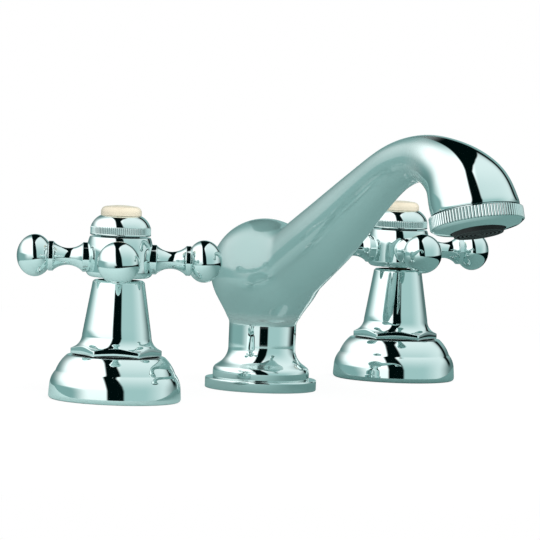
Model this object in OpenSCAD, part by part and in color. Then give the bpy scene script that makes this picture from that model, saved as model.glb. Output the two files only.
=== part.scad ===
// Three-hole basin mixer: a swivel spout between two cross-head valves.
// Frame: Z up, deck top at z = 0, origin at the spout's foot, the front is -Y,
// the hot valve stands at -X and the cold valve at +X.

/* [Layout] */
// Distance between the centres of the two valve holes
valve_spacing = 200; // [150:1:260]
// Thickness of the deck that the mixer clamps
deck_thickness = 20; // [12:1:30]
// Turn of the hot cross head at rest, from +X
hot_head_turn = 37.7; // [0:0.1:90]
// Turn of the cold cross head at rest, from +X
cold_head_turn = 52.3; // [0:0.1:90]
// Quarter turn that opens a valve
valve_travel = 90; // [60:1:120]
// Turn of the spout at rest, from straight ahead towards the hot valve
spout_turn = 16; // [-60:1:60]

/* [Escutcheon] */
// Diameter of the escutcheon
escutcheon_d = 54; // [50:0.5:60]
// Height of the escutcheon
escutcheon_h = 18; // [16:0.5:20]
// Height of its upright rim
escutcheon_rim_h = 2; // [1:0.1:4]
// Lean of the wall over the rim, in degrees
escutcheon_lean = 4.2; // [0:0.1:10]
// Radius of the shoulder over the wall
escutcheon_shoulder_r = 9.5; // [8:0.1:11]
// Height of the shoulder's centre
escutcheon_shoulder_h = 5.1; // [4:0.1:6]
// Radius of the upper dome
escutcheon_dome_r = 15.8; // [14:0.1:18]
// Height of the dome's centre
escutcheon_dome_h = 6.1; // [5:0.1:8]
// Step from the rim in to the dome's outer edge
escutcheon_step = 1.7; // [1:0.1:3]
// Wall of the pressed shell
escutcheon_wall = 2.4; // [1.5:0.1:3]

/* [Shroud] */
// Width across the flats of the hexagonal foot
shroud_af = 32.4; // [30:0.1:36]
// Turn of the hexagon
shroud_turn = 8.25; // [0:0.25:59]
// Height of the shroud
shroud_h = 30.8; // [28:0.1:40]
// Diameter of the round step under the hexagon
shroud_step_d = 30; // [28:0.1:31]
// Height of that step
shroud_step_h = 0.4; // [0.2:0.1:1]
// Diameter at the foot of the taper
shroud_base_d = 28.2; // [27:0.1:30]
// Diameter at the top of the taper
shroud_top_d = 21.2; // [19:0.1:24]
// Radius of the flare that the hexagon cuts
shroud_flare_r = 5.9; // [3:0.1:7]
// Height of the flare's centre over the foot
shroud_flare_h = 8.4; // [7:0.1:10]
// Wall of the shroud
shroud_wall = 2.2; // [1.5:0.1:2.5]
// Chamfer round its upper rim
shroud_chamfer = 0.8; // [0.3:0.1:1.5]

/* [Cross head] */
// Gap that the head turns in, over the shroud
head_gap = 1.2; // [0.5:0.1:3]
// Diameter of the hub
hub_d = 27.2; // [25:0.1:32]
// Height of the hub
hub_h = 16.4; // [15:0.1:20]
// Height at which the hub's wall starts to draw in
hub_barrel_h = 9.5; // [8:0.1:12]
// Radius of the wall's curve over that height
hub_barrel_r = 20; // [16:0.5:30]
// Radius of the hub's lower edge
hub_foot_r = 2.6; // [1:0.1:4]
// Number of arms
arm_count = 4; // [3:1:5]
// Height of the arms over the hub's lower face
arm_h = 7.7; // [7:0.1:9]
// Diameter of the disc that meets the hub
arm_disc_d = 12; // [10:0.1:13]
// Outer face of that disc, from the hub's wall
arm_disc_w = 2; // [1.5:0.1:3]
// Least diameter of the arm's neck
arm_neck_d = 6.9; // [5:0.1:8]
// Diameter of the ring behind the ball
arm_ring_d = 12.1; // [10:0.1:13]
// Inner face of the ring, from the hub's wall
arm_ring_at = 13.4; // [12:0.1:15]
// Diameter of the ball
ball_d = 17.2; // [14:0.1:20]
// Centre of the ball, from the hub's wall
ball_at = 20.7; // [19:0.1:24]
// Length of the ball's outer half
ball_nose = 7.5; // [6:0.1:9]
// Length that the ball's inner half would have without the ring
ball_back = 6.95; // [6:0.1:8]
// Diameter of the spigot that screws into the hub
arm_spigot_d = 6; // [5:0.1:7]
// Length of that spigot
arm_spigot_l = 5; // [3:0.1:6]
// Thickness of the hub's web, which the handle screw clamps
hub_web = 2; // [1:0.1:3]

/* [Index] */
// Diameter of the knurled index collar
collar_d = 24.8; // [22:0.1:26]
// Height of the collar
collar_h = 8.1; // [7:0.1:10]
// Shadow gap under the collar
collar_gap = 0.6; // [0.3:0.1:1.5]
// Height of the knurled band
collar_knurl_h = 2.6; // [2:0.1:3]
// Plain lip under the band
collar_lip_h = 0.7; // [0.3:0.1:1]
// Number of reeds round the collar
collar_reeds = 92; // [60:1:120]
// Depth of a reed
collar_reed_depth = 0.3; // [0.1:0.05:0.4]
// Step from the lip in to the reeds
collar_reed_step = 0.1; // [0.05:0.01:0.2]
// Radius of the collar's dome
collar_dome_r = 7.5; // [7:0.1:9]
// Distance of the dome's centre from the collar's axis
collar_dome_in = 5; // [4:0.1:6]
// Height of the dome's centre
collar_dome_h = 1.3; // [0.5:0.1:2]
// Diameter of the collar's threaded spigot
collar_spigot_d = 15.8; // [14:0.1:17]
// Length of that spigot
collar_spigot_l = 4.6; // [3:0.1:5]
// Bore of the collar
collar_bore_d = 11; // [10:0.1:12]
// Diameter of the index button
button_d = 16.6; // [15:0.1:17]
// Height of the index button
button_h = 4.2; // [3:0.1:5]
// Radius of the button's edge
button_edge_r = 1.9; // [1:0.1:2]
// Rise of the button's crown over its edge
button_crown = 0.3; // [0.2:0.1:1.5]
// Length of the button's stem
button_stem_l = 5; // [3:0.1:6]

/* [Valve] */
// Thread of the valve body that passes the deck
valve_thread_d = 28; // [26:0.5:32]
// Thread at its top, which carries the shroud
valve_top_d = 24; // [22:0.5:24]
// Length of that top thread over the shroud's foot
valve_top_l = 6; // [5:0.1:7]
// Diameter of the collar that sits on the deck seal
valve_collar_d = 38; // [34:0.5:42]
// Height of that collar
valve_collar_h = 3; // [2:0.1:5]
// Bore that takes the headwork
valve_bore_d = 21; // [20:0.1:22]
// Depth of the valve seat below the deck's top face
valve_seat_depth = 50; // [48:1:60]
// Wall under the seat
valve_floor = 6; // [4:0.5:8]
// Outer diameter of the inlet tail, a G 1/2 thread
inlet_d = 20.96; // [20.96:0.01:20.96]
// Length of the inlet tail
inlet_l = 16; // [12:0.5:20]
// Bore of the inlet
inlet_bore_d = 13; // [10:0.5:14]

/* [Headwork] */
// Diameter of the headwork's barrel
barrel_d = 18.8; // [18:0.1:19.5]
// Length of the headwork's thread
headwork_thread_l = 16; // [10:1:20]
// Width across the flats of its hexagon
headwork_af = 19; // [17:0.5:19]
// Height of the hexagon
headwork_hex_h = 4; // [3:0.1:5]
// Diameter of the headwork's neck
headwork_neck_d = 14.8; // [12:0.1:15]
// Length of the neck
headwork_neck_l = 16; // [10:0.5:16]
// Diameter of the spindle
spindle_d = 8; // [7:0.1:9]
// Length of the spindle inside the hub
spindle_grip = 9; // [7:0.1:9]
// Diameter of the spindle's driving foot
spindle_foot_d = 15; // [13:0.1:16]
// Height of the driving foot
spindle_foot_h = 3.5; // [2:0.1:5]
// Diameter of the ceramic discs
disc_d = 16.2; // [15:0.1:16.3]
// Thickness of the fixed disc
fixed_disc_h = 3; // [2:0.1:4]
// Thickness of the moving disc
moving_disc_h = 2.5; // [2:0.1:4]
// Diameter of each of the two ports in a disc
disc_port_d = 5; // [3:0.1:6]
// Height of the outlet windows in the barrel
window_h = 5; // [3:0.1:6]
// Width of the outlet windows
window_w = 9; // [5:0.1:12]
// Thickness of the seat seal
seat_seal_h = 2; // [1:0.1:3]
// Section of the spindle's O-rings
oring_w = 1; // [0.8:0.1:1.2]
// Distance between the two O-rings
oring_pitch = 5; // [3:0.1:8]
// Thickness of the spindle's retaining ring
circlip_h = 1; // [0.6:0.1:1.4]
// Outer diameter of the retaining ring
circlip_d = 12; // [10:0.1:13]

/* [Handle screw] */
// Diameter of the screw
screw_d = 4; // [3:0.1:5]
// Length of the screw below its head
screw_l = 10; // [8:0.1:12]
// Diameter of the screw's head
screw_head_d = 7; // [6:0.1:8]
// Height of the screw's head
screw_head_h = 2.4; // [2:0.1:3]
// Width across the flats of its socket
screw_socket_af = 2.5; // [2:0.1:3]

/* [Deck fixing] */
// Thickness of the seal on top of the deck
deck_seal_h = 2; // [1:0.1:3]
// Thickness of the rubber washer under the deck
deck_washer_h = 2; // [1:0.1:4]
// Thickness of the steel washer
clamp_washer_h = 1.5; // [1:0.1:3]
// Height of a backnut
backnut_h = 8; // [6:0.1:12]
// Diameter of the valves' washers
valve_washer_d = 42; // [38:0.5:50]
// Width across the flats of the valves' backnuts
valve_backnut_af = 36; // [32:0.5:41]
// Diameter of the spout's washers
spout_washer_d = 38; // [30:0.5:44]
// Width across the flats of the spout's backnut
spout_backnut_af = 30; // [27:0.5:32]

/* [Link] */
// Depth of the link tubes' axis below the deck's top face
link_depth = 44; // [42:0.5:50]
// Diameter of a link tube
link_d = 12; // [10:0.5:15]
// Wall of a link tube
link_wall = 1; // [0.8:0.1:1.5]
// Diameter of the threaded ports that the tubes enter
port_d = 18; // [16:0.5:20]
// Length of a port beyond the body that carries it
port_l = 12; // [10:0.5:14]
// Depth that a tube enters its port
tube_entry = 10; // [6:0.5:11]
// Width across the flats of a union nut
union_af = 22; // [20:0.5:24]
// Length of a union nut
union_l = 12; // [10:0.5:14]
// Length of the thread that a union nut covers
union_grip = 6; // [4:0.5:8]
// Length of an olive
olive_l = 2; // [1.5:0.1:4]
// Diameter of an olive
olive_d = 15; // [14:0.1:16]
// Diameter of the tee's upright body
tee_d = 27; // [25:0.5:30]
// Height of the tee's body
tee_h = 21; // [18:0.5:26]

/* [Spout] */
// Reach from the spout's axis to the middle of its mouth
spout_reach = 135.6; // [110:0.1:160]
// Height of the arm's axis at its crest
spout_crest_h = 103; // [90:0.1:130]
// Height of the middle of the bulb
bulb_h = 49.6; // [44:0.5:60]
// Diameter of the bulb
bulb_d = 46; // [42:0.5:52]
// Depth of the bulb's lower half, as a share of its radius
bulb_under = 0.9; // [0.8:0.01:1]
// Diameter of the neck
neck_d = 28.6; // [27:0.1:32]
// Diameter of the arm where it leaves the bulb
arm_root_d = 31; // [28:0.5:34]
// Least diameter of the arm
arm_waist_d = 19.5; // [17:0.5:24]
// Diameter of the mouth
mouth_d = 35.6; // [34:0.1:38]
// Forward tilt of the mouth's axis
mouth_tilt = 16; // [0:0.1:25]
// Radius of the fillet between bulb and arm
shoulder_blend = 7; // [2:0.5:10]
// Radius of the blend between neck and bulb
neck_blend = 5; // [4:0.5:14]
// Wall of the casting
spout_wall = 3.5; // [2.5:0.1:4]
// Diameter of the foot's bead
foot_d = 41; // [38:0.5:44]
// Height of the foot, from the flange up to the neck
foot_h = 12.9; // [12:0.1:15]
// Radius of the bead round the foot
foot_bead_r = 2.8; // [2:0.1:3]
// Height of the bead's centre over the flange
foot_bead_h = 2.9; // [2.5:0.1:4]
// Radius of the hollow over the bead
foot_hollow_r = 8.1; // [7:0.1:9]
// Turn of the flat between bead and hollow, in degrees from upright
foot_slope = 55; // [40:1:70]
// Diameter of the flange under the foot
flange_d = 47.4; // [44:0.5:54]
// Thickness of the flange
flange_h = 4.6; // [3:0.1:6]
// Radius of the flange's edges
flange_edge_r = 0.6; // [0.2:0.1:1]
// Thread of the shank, a G 1/2 thread
shank_d = 20.86; // [20:0.02:22]
// Bore of the shank
shank_bore_d = 13; // [10:0.5:15]
// Length of the shank inside the foot
shank_entry = 12; // [10:0.5:12]
// Distance between the shank's two O-rings
shank_seal_pitch = 3; // [2.5:0.1:3.5]
// Diameter of the grub screw that holds the spout down on its shank
grub_d = 3; // [2.5:0.1:3.5]
// Diameter of the grub screw's tip
grub_tip_d = 2; // [1.5:0.1:2.4]
// Width across the flats of its socket
grub_socket_af = 1.5; // [1.3:0.1:2]
// Depth of the groove in the shank that the tip runs in
grub_groove = 1.4; // [1:0.1:2]

/* [Aerator] */
// Diameter of the knurled ring
ring_d = 38.2; // [37:0.1:42]
// Height of the ring, from the mouth down
ring_h = 8.4; // [6:0.1:10]
// Height of its knurled band
ring_knurl_h = 5.1; // [3:0.1:6]
// Number of reeds round the ring
ring_reeds = 88; // [60:1:100]
// Depth of a reed
ring_reed_depth = 0.4; // [0.2:0.05:0.8]
// Shadow groove between the spout and the ring
ring_gap = 0.8; // [0.2:0.1:1]
// Diameter of the mouth's threaded collar
thread_d = 33; // [32:0.1:34]
// Length of that collar
thread_l = 4.2; // [3:0.1:5]
// Bore of the ring
ring_bore_d = 22.6; // [20:0.1:24]
// Thickness of the ring's floor at its bore
ring_floor = 1.2; // [1:0.1:2.5]
// Height of the ring's conical underside
ring_cone_h = 1.4; // [1:0.1:2]
// Inset of the cone's upper edge from the band
ring_cone_step = 1.2; // [0.5:0.1:2]
// Diameter of the jet insert at the ring
jet_d = 22; // [19:0.1:22.4]
// Diameter of the jet insert's face
jet_face_d = 20; // [17:0.1:21]
// Height of the jet insert below its flange
jet_h = 2.6; // [2:0.1:4]
// Thickness of the jet's flange
jet_flange_h = 0.9; // [0.6:0.1:1.2]
// Number of grooves in the jet's face
jet_grooves = 5; // [2:1:6]
// Depth and width of a groove
jet_groove = 0.8; // [0.4:0.1:1]

/* [Fits] */
// Radial play of a screwed or seated fit
fit_gap = 0.05; // [0.02:0.01:0.1]
// Radial play of a washer or plate on a thread
loose_gap = 0.3; // [0.2:0.05:0.6]
// Gap between the spout's backnut and the tee under it
tee_gap = 1; // [0.5:0.5:3]
// Overrun of every cut
overrun = 1; // [0.5:0.5:2]

/* [Hidden] */
SIDES = ["hot", "cold"];
$fn = 64;

CHROME = [0.74, 0.83, 0.83];
BRASS = [0.80, 0.66, 0.36];
STEEL = [0.70, 0.72, 0.74];
RUBBER = [0.16, 0.16, 0.17];
CERAMIC = [0.93, 0.93, 0.90];
IVORY = [0.97, 0.94, 0.83];

// Heights of the valve's pieces, from the deck up
shroud_z = escutcheon_h;
shroud_top_z = shroud_z + shroud_h;
hub_z = shroud_top_z + head_gap;
hub_top_z = hub_z + hub_h;
collar_z = hub_top_z + collar_gap;
button_z = collar_z + collar_h;
arm_z = hub_z + arm_h;
valve_top_z = shroud_z + valve_top_l;
spindle_top_z = hub_z + spindle_grip;

// Heights of the pieces under the deck
washer_z = -deck_thickness - deck_washer_h;
clamp_z = washer_z - clamp_washer_h;
backnut_z = clamp_z - backnut_h;
link_z = -link_depth;
seat_z = -valve_seat_depth;
valve_foot_z = seat_z - valve_floor;
inlet_z = valve_foot_z - inlet_l;
fixed_disc_z = seat_z + seat_seal_h;
moving_disc_z = fixed_disc_z + fixed_disc_h;
spindle_foot_z = moving_disc_z + moving_disc_h;
barrel_shoulder_z = spindle_foot_z + spindle_foot_h;
headwork_neck_z = valve_top_z + headwork_hex_h;
headwork_top_z = headwork_neck_z + headwork_neck_l;

function side_sign(side) = side == "hot" ? -1 : 1;
function head_turn(side) = side == "hot" ? hot_head_turn : cold_head_turn;

// Places a piece of a valve on its axis
module at_valve(side) {
    translate([side_sign(side) * valve_spacing / 2, 0, 0]) children();
}

// Places a piece of a cross head on its axis, turned as it stands at rest
module at_head(side) {
    at_valve(side) rotate([0, 0, head_turn(side)]) children();
}

// Places a piece of the spout, turned as it stands at rest
module at_spout() {
    rotate([0, 0, -spout_turn]) children();
}

// A plain ring between two heights
module ring(outer_d, inner_d, z0, z1) {
    translate([0, 0, z0]) difference() {
        cylinder(d = outer_d, h = z1 - z0);
        translate([0, 0, -overrun]) cylinder(d = inner_d, h = z1 - z0 + 2 * overrun);
    }
}

// A hexagonal nut between two heights
module hex_nut(af, bore_d, z0, z1) {
    translate([0, 0, z0]) difference() {
        cylinder(d = af / cos(30), h = z1 - z0, $fn = 6);
        translate([0, 0, -overrun]) cylinder(d = bore_d, h = z1 - z0 + 2 * overrun);
    }
}

// The outline of a knurled band: straight reeds round a circle
function reed_points(d, depth, reeds) = [
    for (i = [0 : 2 * reeds - 1])
        let (r = d / 2 - (i % 2 == 0 ? 0 : depth), a = 180 * i / reeds)
        [r * cos(a), r * sin(a)]
];

module reeded_band(d, depth, reeds, h) {
    linear_extrude(h) polygon(reed_points(d, depth, reeds));
}

// A block with two rounded outer edges, as half of a lathe section
module rounded_section(r, h, top_r, foot_r) {
    square([r - max(top_r, foot_r), h]);
    translate([0, foot_r]) square([r, h - top_r - foot_r]);
    translate([r - top_r, h - top_r]) circle(top_r);
    translate([r - foot_r, foot_r]) circle(foot_r);
    square([r - foot_r, foot_r]);
    translate([0, h - top_r]) square([r - top_r, top_r]);
}

// Cross head

module index() {
    edge_z = button_h - button_crown - button_edge_r;
    crown_half = button_d / 2 - button_edge_r;
    crown_r = (crown_half * crown_half + button_crown * button_crown) / (2 * button_crown);
    color(IVORY) translate([0, 0, button_z]) {
        rotate_extrude() {
            square([button_d / 2, edge_z]);
            square([crown_half, edge_z + button_edge_r]);
            intersection() {
                translate([crown_half, edge_z]) circle(button_edge_r);
                square([button_d / 2, button_h]);
            }
            intersection() {
                translate([0, button_h - crown_r]) circle(crown_r, $fn = 180);
                translate([0, edge_z]) square([crown_half, button_h]);
            }
        }
        translate([0, 0, -button_stem_l])
            cylinder(d = collar_bore_d - 2 * fit_gap, h = button_stem_l + edge_z);
    }
}

module index_collar() {
    band_top = collar_lip_h + collar_knurl_h;
    color(CHROME) translate([0, 0, collar_z]) difference() {
        union() {
            cylinder(d = collar_d, h = collar_lip_h);
            rotate_extrude() {
                translate([0, band_top]) square([collar_dome_in, collar_h - band_top]);
                intersection() {
                    translate([collar_dome_in, collar_dome_h]) circle(collar_dome_r, $fn = 96);
                    translate([0, band_top]) square([collar_d / 2, collar_h - band_top]);
                }
            }
            translate([0, 0, collar_lip_h])
                reeded_band(collar_d - 2 * collar_reed_step, collar_reed_depth, collar_reeds,
                            collar_knurl_h);
            translate([0, 0, -collar_spigot_l])
                cylinder(d = collar_spigot_d, h = collar_spigot_l + collar_lip_h);
        }
        translate([0, 0, -collar_spigot_l - overrun])
            cylinder(d = collar_bore_d, h = collar_spigot_l + collar_h + 2 * overrun);
    }
}

// Half of the hub's lathe section, with its wall set out by a margin
module hub_section(margin) {
    wall_r = hub_d / 2 + margin;
    barrel_r = hub_barrel_r + margin;
    square([wall_r - hub_foot_r, hub_foot_r]);
    translate([hub_d / 2 - hub_foot_r, hub_foot_r]) circle(hub_foot_r + margin);
    translate([0, hub_foot_r]) square([wall_r, hub_barrel_h - hub_foot_r]);
    intersection() {
        translate([wall_r - barrel_r, hub_barrel_h]) circle(barrel_r, $fn = 360);
        translate([0, hub_barrel_h]) square([wall_r, hub_h - hub_barrel_h]);
    }
}

module handle_hub() {
    pocket_z = spindle_top_z + hub_web;
    color(CHROME) difference() {
        translate([0, 0, hub_z])
            rotate_extrude() hub_section(0);
        translate([0, 0, hub_z - overrun])
            cylinder(d = spindle_d + 2 * fit_gap, h = spindle_grip + overrun);
        translate([0, 0, spindle_top_z - overrun])
            cylinder(d = screw_d + 2 * fit_gap, h = hub_web + 2 * overrun);
        translate([0, 0, pocket_z])
            cylinder(d = collar_spigot_d + 2 * fit_gap, h = hub_top_z - pocket_z + overrun);
        for (i = [0 : arm_count - 1])
            rotate([0, 0, 360 * i / arm_count]) translate([hub_d / 2 - arm_spigot_l, 0, arm_z])
                rotate([0, 90, 0])
                    cylinder(d = arm_spigot_d + 2 * fit_gap, h = arm_spigot_l + overrun);
    }
}

// Half of the ball's outline, an oval with a longer nose than back
function ball_points(steps) = [
    for (i = [0 : steps])
        let (a = 180 * i / steps, half = a < 90 ? ball_nose : ball_back)
        [ball_d / 2 * sin(a), ball_at + half * cos(a)]
];

// The hollow of the neck is an arc from the disc's face to the ring's face
neck_half = (arm_ring_at - arm_disc_w) / 2;
neck_sag = (arm_disc_d - arm_neck_d) / 2;
neck_hollow_r = (neck_half * neck_half + neck_sag * neck_sag) / (2 * neck_sag);

// The lathe section of an arm, standing on the hub's wall
module arm_section() {
    difference() {
        translate([0, -arm_disc_d / 2])
            square([arm_disc_d / 2, arm_disc_d / 2 + arm_ring_at + overrun]);
        translate([arm_neck_d / 2 + neck_hollow_r, arm_disc_w + neck_half])
            circle(neck_hollow_r, $fn = 96);
    }
    translate([0, arm_ring_at]) square([arm_ring_d / 2, ball_back / 2]);
}

module handle_arms() {
    color(CHROME) for (i = [0 : arm_count - 1])
        rotate([0, 0, 360 * i / arm_count]) translate([0, 0, arm_z]) {
            difference() {
                translate([hub_d / 2, 0, 0]) rotate([0, 90, 0]) {
                    rotate_extrude() arm_section();
                    rotate_extrude() polygon(ball_points(20));
                }
                translate([0, 0, -arm_h]) rotate_extrude() hub_section(fit_gap);
            }
            translate([hub_d / 2 - arm_spigot_l, 0, 0]) rotate([0, 90, 0])
                cylinder(d = arm_spigot_d, h = arm_spigot_l + arm_disc_w);
        }
}

module handle_screw() {
    head_z = spindle_top_z + hub_web;
    color(STEEL) difference() {
        union() {
            translate([0, 0, head_z]) cylinder(d = screw_head_d, h = screw_head_h);
            translate([0, 0, head_z - screw_l]) cylinder(d = screw_d, h = screw_l + overrun);
        }
        translate([0, 0, head_z + screw_head_h / 2])
            cylinder(d = screw_socket_af / cos(30), h = screw_head_h, $fn = 6);
    }
}

// Headwork

function groove_z(i) = headwork_neck_z + headwork_neck_l / 2 - i * oring_pitch;

module spindle() {
    groove_d = spindle_d - 2 * oring_w;
    color(BRASS) difference() {
        union() {
            translate([0, 0, spindle_foot_z])
                cylinder(d = spindle_foot_d, h = spindle_foot_h - loose_gap);
            translate([0, 0, spindle_foot_z])
                cylinder(d = spindle_d, h = spindle_top_z - spindle_foot_z);
        }
        translate([0, 0, spindle_top_z - screw_l])
            cylinder(d = screw_d + 2 * fit_gap, h = screw_l + overrun);
        for (i = [0, 1])
            ring(spindle_d + overrun, groove_d, groove_z(i) - oring_w, groove_z(i) + oring_w);
        ring(spindle_d + overrun, groove_d, headwork_top_z + fit_gap,
             headwork_top_z + fit_gap + circlip_h);
    }
}

module spindle_seals() {
    color(RUBBER) for (i = [0, 1])
        translate([0, 0, groove_z(i)])
            rotate_extrude() translate([spindle_d / 2 - oring_w / 2, 0])
                circle(d = oring_w - fit_gap);
}

module circlip() {
    inner_d = spindle_d - 2 * oring_w + 2 * fit_gap;
    z0 = headwork_top_z + 2 * fit_gap;
    color(STEEL) difference() {
        ring(circlip_d, inner_d, z0, z0 + circlip_h - 2 * fit_gap);
        translate([0, -inner_d / 2 + fit_gap, z0 - overrun])
            cube([circlip_d, inner_d - 2 * fit_gap, circlip_h + 2 * overrun]);
    }
}

// A ceramic disc with two ports, opposite each other
module ported_disc(z, h, turn) {
    color(CERAMIC) translate([0, 0, z]) rotate([0, 0, turn]) difference() {
        cylinder(d = disc_d - 2 * fit_gap, h = h);
        for (s = [-1, 1])
            translate([s * disc_d / 4, 0, -overrun])
                cylinder(d = disc_port_d, h = h + 2 * overrun);
    }
}

module moving_disc() {
    ported_disc(moving_disc_z, moving_disc_h, valve_travel);
}

module fixed_disc() {
    ported_disc(fixed_disc_z, fixed_disc_h - fit_gap, 0);
}

module seat_seal() {
    color(RUBBER) ring(barrel_d, inlet_bore_d, seat_z, fixed_disc_z);
}

module headwork() {
    thread_z = valve_top_z - headwork_thread_l;
    color(BRASS) difference() {
        union() {
            translate([0, 0, fixed_disc_z])
                cylinder(d = barrel_d, h = valve_top_z - fixed_disc_z);
            translate([0, 0, thread_z])
                cylinder(d = valve_bore_d - 2 * fit_gap, h = headwork_thread_l);
            translate([0, 0, valve_top_z])
                cylinder(d = headwork_af / cos(30), h = headwork_hex_h, $fn = 6);
            translate([0, 0, valve_top_z])
                cylinder(d = headwork_neck_d, h = headwork_top_z - valve_top_z);
        }
        translate([0, 0, fixed_disc_z - overrun])
            cylinder(d = disc_d, h = barrel_shoulder_z - fixed_disc_z + overrun);
        translate([0, 0, barrel_shoulder_z - overrun])
            cylinder(d = spindle_d + 2 * fit_gap, h = headwork_top_z - barrel_shoulder_z + 2 * overrun);
        translate([-barrel_d, -window_w / 2, moving_disc_z])
            cube([2 * barrel_d, window_w, window_h]);
    }
}

// Valve

module shroud() {
    base_r = shroud_base_d / 2;
    top_r = shroud_top_d / 2;
    corner_r = shroud_af / 2 / cos(30);
    bore_h = valve_top_l + fit_gap;
    color(CHROME) translate([0, 0, shroud_z]) difference() {
        intersection() {
            rotate_extrude() difference() {
                union() {
                    translate([0, shroud_step_h])
                        square([corner_r, shroud_flare_h - shroud_step_h]);
                    square([shroud_step_d / 2, shroud_flare_h]);
                    polygon([[0, shroud_flare_h], [base_r, shroud_flare_h],
                             [top_r, shroud_h - shroud_chamfer],
                             [top_r - shroud_chamfer, shroud_h], [0, shroud_h]]);
                }
                translate([base_r + shroud_flare_r, shroud_flare_h])
                    circle(shroud_flare_r, $fn = 96);
            }
            rotate([0, 0, shroud_turn]) cylinder(r = corner_r, h = shroud_h, $fn = 6);
        }
        rotate_extrude() polygon([
            [0, -overrun], [valve_top_d / 2 + fit_gap, -overrun],
            [valve_top_d / 2 + fit_gap, bore_h], [base_r - shroud_wall, bore_h],
            [top_r - shroud_wall, shroud_h], [top_r - shroud_wall, shroud_h + overrun],
            [0, shroud_h + overrun]
        ]);
    }
}

// Half of the escutcheon's lathe section, drawn in by an inset
module escutcheon_section(inset) {
    rim_r = escutcheon_d / 2;
    shoulder_in = (escutcheon_shoulder_r
        + (escutcheon_shoulder_h - escutcheon_rim_h) * sin(escutcheon_lean)) / cos(escutcheon_lean);
    shoulder_p = [rim_r - shoulder_in, escutcheon_shoulder_h];
    shoulder_r = escutcheon_shoulder_r - inset;
    dome_p = [rim_r - escutcheon_step - escutcheon_dome_r, escutcheon_dome_h];
    intersection() {
        union() {
            polygon([[0, 0], [rim_r - inset, 0], [rim_r - inset, escutcheon_rim_h],
                     shoulder_p + shoulder_r * [cos(escutcheon_lean), sin(escutcheon_lean)],
                     shoulder_p + [0, shoulder_r], [0, shoulder_p[1] + shoulder_r]]);
            translate(shoulder_p) circle(shoulder_r, $fn = 96);
            translate(dome_p) circle(escutcheon_dome_r - inset, $fn = 180);
            square([dome_p[0], escutcheon_h]);
        }
        square([rim_r, escutcheon_h - inset]);
    }
}

module escutcheon() {
    color(CHROME) difference() {
        rotate_extrude() escutcheon_section(0);
        translate([0, 0, -fit_gap]) rotate_extrude() escutcheon_section(escutcheon_wall);
        translate([0, 0, -overrun])
            cylinder(r = escutcheon_d / 2 - escutcheon_wall, h = escutcheon_rim_h + overrun);
        cylinder(d = valve_top_d + 2 * loose_gap, h = escutcheon_h + overrun);
    }
}

// A threaded side port along +X with a socket for its tube, from the axis to its end
module port_body(end_x) {
    translate([0, 0, link_z]) rotate([0, 90, 0]) cylinder(d = port_d, h = end_x);
}

module port_bore(end_x) {
    translate([0, 0, link_z]) rotate([0, 90, 0]) {
        cylinder(d = link_d - 2 * link_wall, h = end_x + overrun);
        translate([0, 0, end_x - tube_entry])
            cylinder(d = link_d + 2 * fit_gap, h = tube_entry + overrun);
    }
}

valve_port_x = valve_thread_d / 2 + port_l;
tee_port_x = tee_d / 2 + port_l;

module valve_body() {
    color(BRASS) difference() {
        union() {
            translate([0, 0, valve_foot_z])
                cylinder(d = valve_thread_d, h = deck_seal_h - valve_foot_z);
            translate([0, 0, deck_seal_h]) cylinder(d = valve_collar_d, h = valve_collar_h);
            cylinder(d = valve_top_d, h = valve_top_z);
            translate([0, 0, inlet_z]) cylinder(d = inlet_d, h = inlet_l + overrun);
            port_body(valve_port_x);
        }
        translate([0, 0, seat_z]) cylinder(d = valve_bore_d, h = valve_top_z - seat_z + overrun);
        translate([0, 0, inlet_z - overrun])
            cylinder(d = inlet_bore_d, h = seat_z - inlet_z + 2 * overrun);
        port_bore(valve_port_x);
    }
}

module deck_seal() {
    color(RUBBER) ring(valve_collar_d, valve_thread_d + 2 * loose_gap, 0, deck_seal_h);
}

// Deck fixing

module deck_washer() {
    color(RUBBER) ring(valve_washer_d, valve_thread_d + 2 * loose_gap, washer_z, -deck_thickness);
}

module clamp_washer() {
    color(STEEL) ring(valve_washer_d, valve_thread_d + 2 * loose_gap, clamp_z, washer_z);
}

module backnut() {
    color(BRASS) hex_nut(valve_backnut_af, valve_thread_d + 2 * fit_gap, backnut_z, clamp_z);
}

// Spout

// Stations of the arm's axis: share of the reach, share of the rise from bulb to crest,
// then how far the radius lies from the waist towards the root and towards the mouth
station_shares = [
    [0.077, -0.026, 1.000, 0.000],
    [0.294, 0.335, 0.740, 0.000],
    [0.496, 0.712, 0.220, 0.000],
    [0.631, 0.926, 0.000, 0.000],
    [0.757, 1.000, 0.000, 0.000],
    [0.875, 0.925, 0.000, 0.390],
    [0.955, 0.800, 0.000, 0.870],
    [0.995, 0.672, 0.000, 1.000],
    [1.000, 0.641, 0.000, 1.000]
];
// Lean of each station's section, in degrees from level
station_leans = [54.5, 54.5, 57, 68, 88.5, 111, 137, 159.2, 180 - mouth_tilt];

waist_r = arm_waist_d / 2;
station_r = [
    for (s = station_shares)
        waist_r + s[2] * (arm_root_d / 2 - waist_r) + s[3] * (mouth_d / 2 - waist_r)
];
station_p = [
    for (s = station_shares)
        [0, -s[0] * spout_reach, bulb_h + s[1] * (spout_crest_h - bulb_h)]
];
station_last = len(station_shares) - 1;
mouth_p = station_p[station_last];

// A smooth curve through four values, from the second to the third
function through(a, b, c, d, t) =
    b + t * ((c - a) / 2 + t * (a - 2.5 * b + 2 * c - d / 2 + t * (1.5 * b - 1.5 * c + (d - a) / 2)));

function between(list, i, t) =
    let (last = len(list) - 1)
    through(list[max(i - 1, 0)], list[i], list[min(i + 1, last)], list[min(i + 2, last)], t);

// Distance to the surfaces that the spout blends, negative inside
bulb_p = [0, 0, bulb_h];
root_p = station_p[0];
root_axis = (station_p[1] - root_p) / norm(station_p[1] - root_p);
root_run = norm(station_p[1] - root_p);

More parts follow.
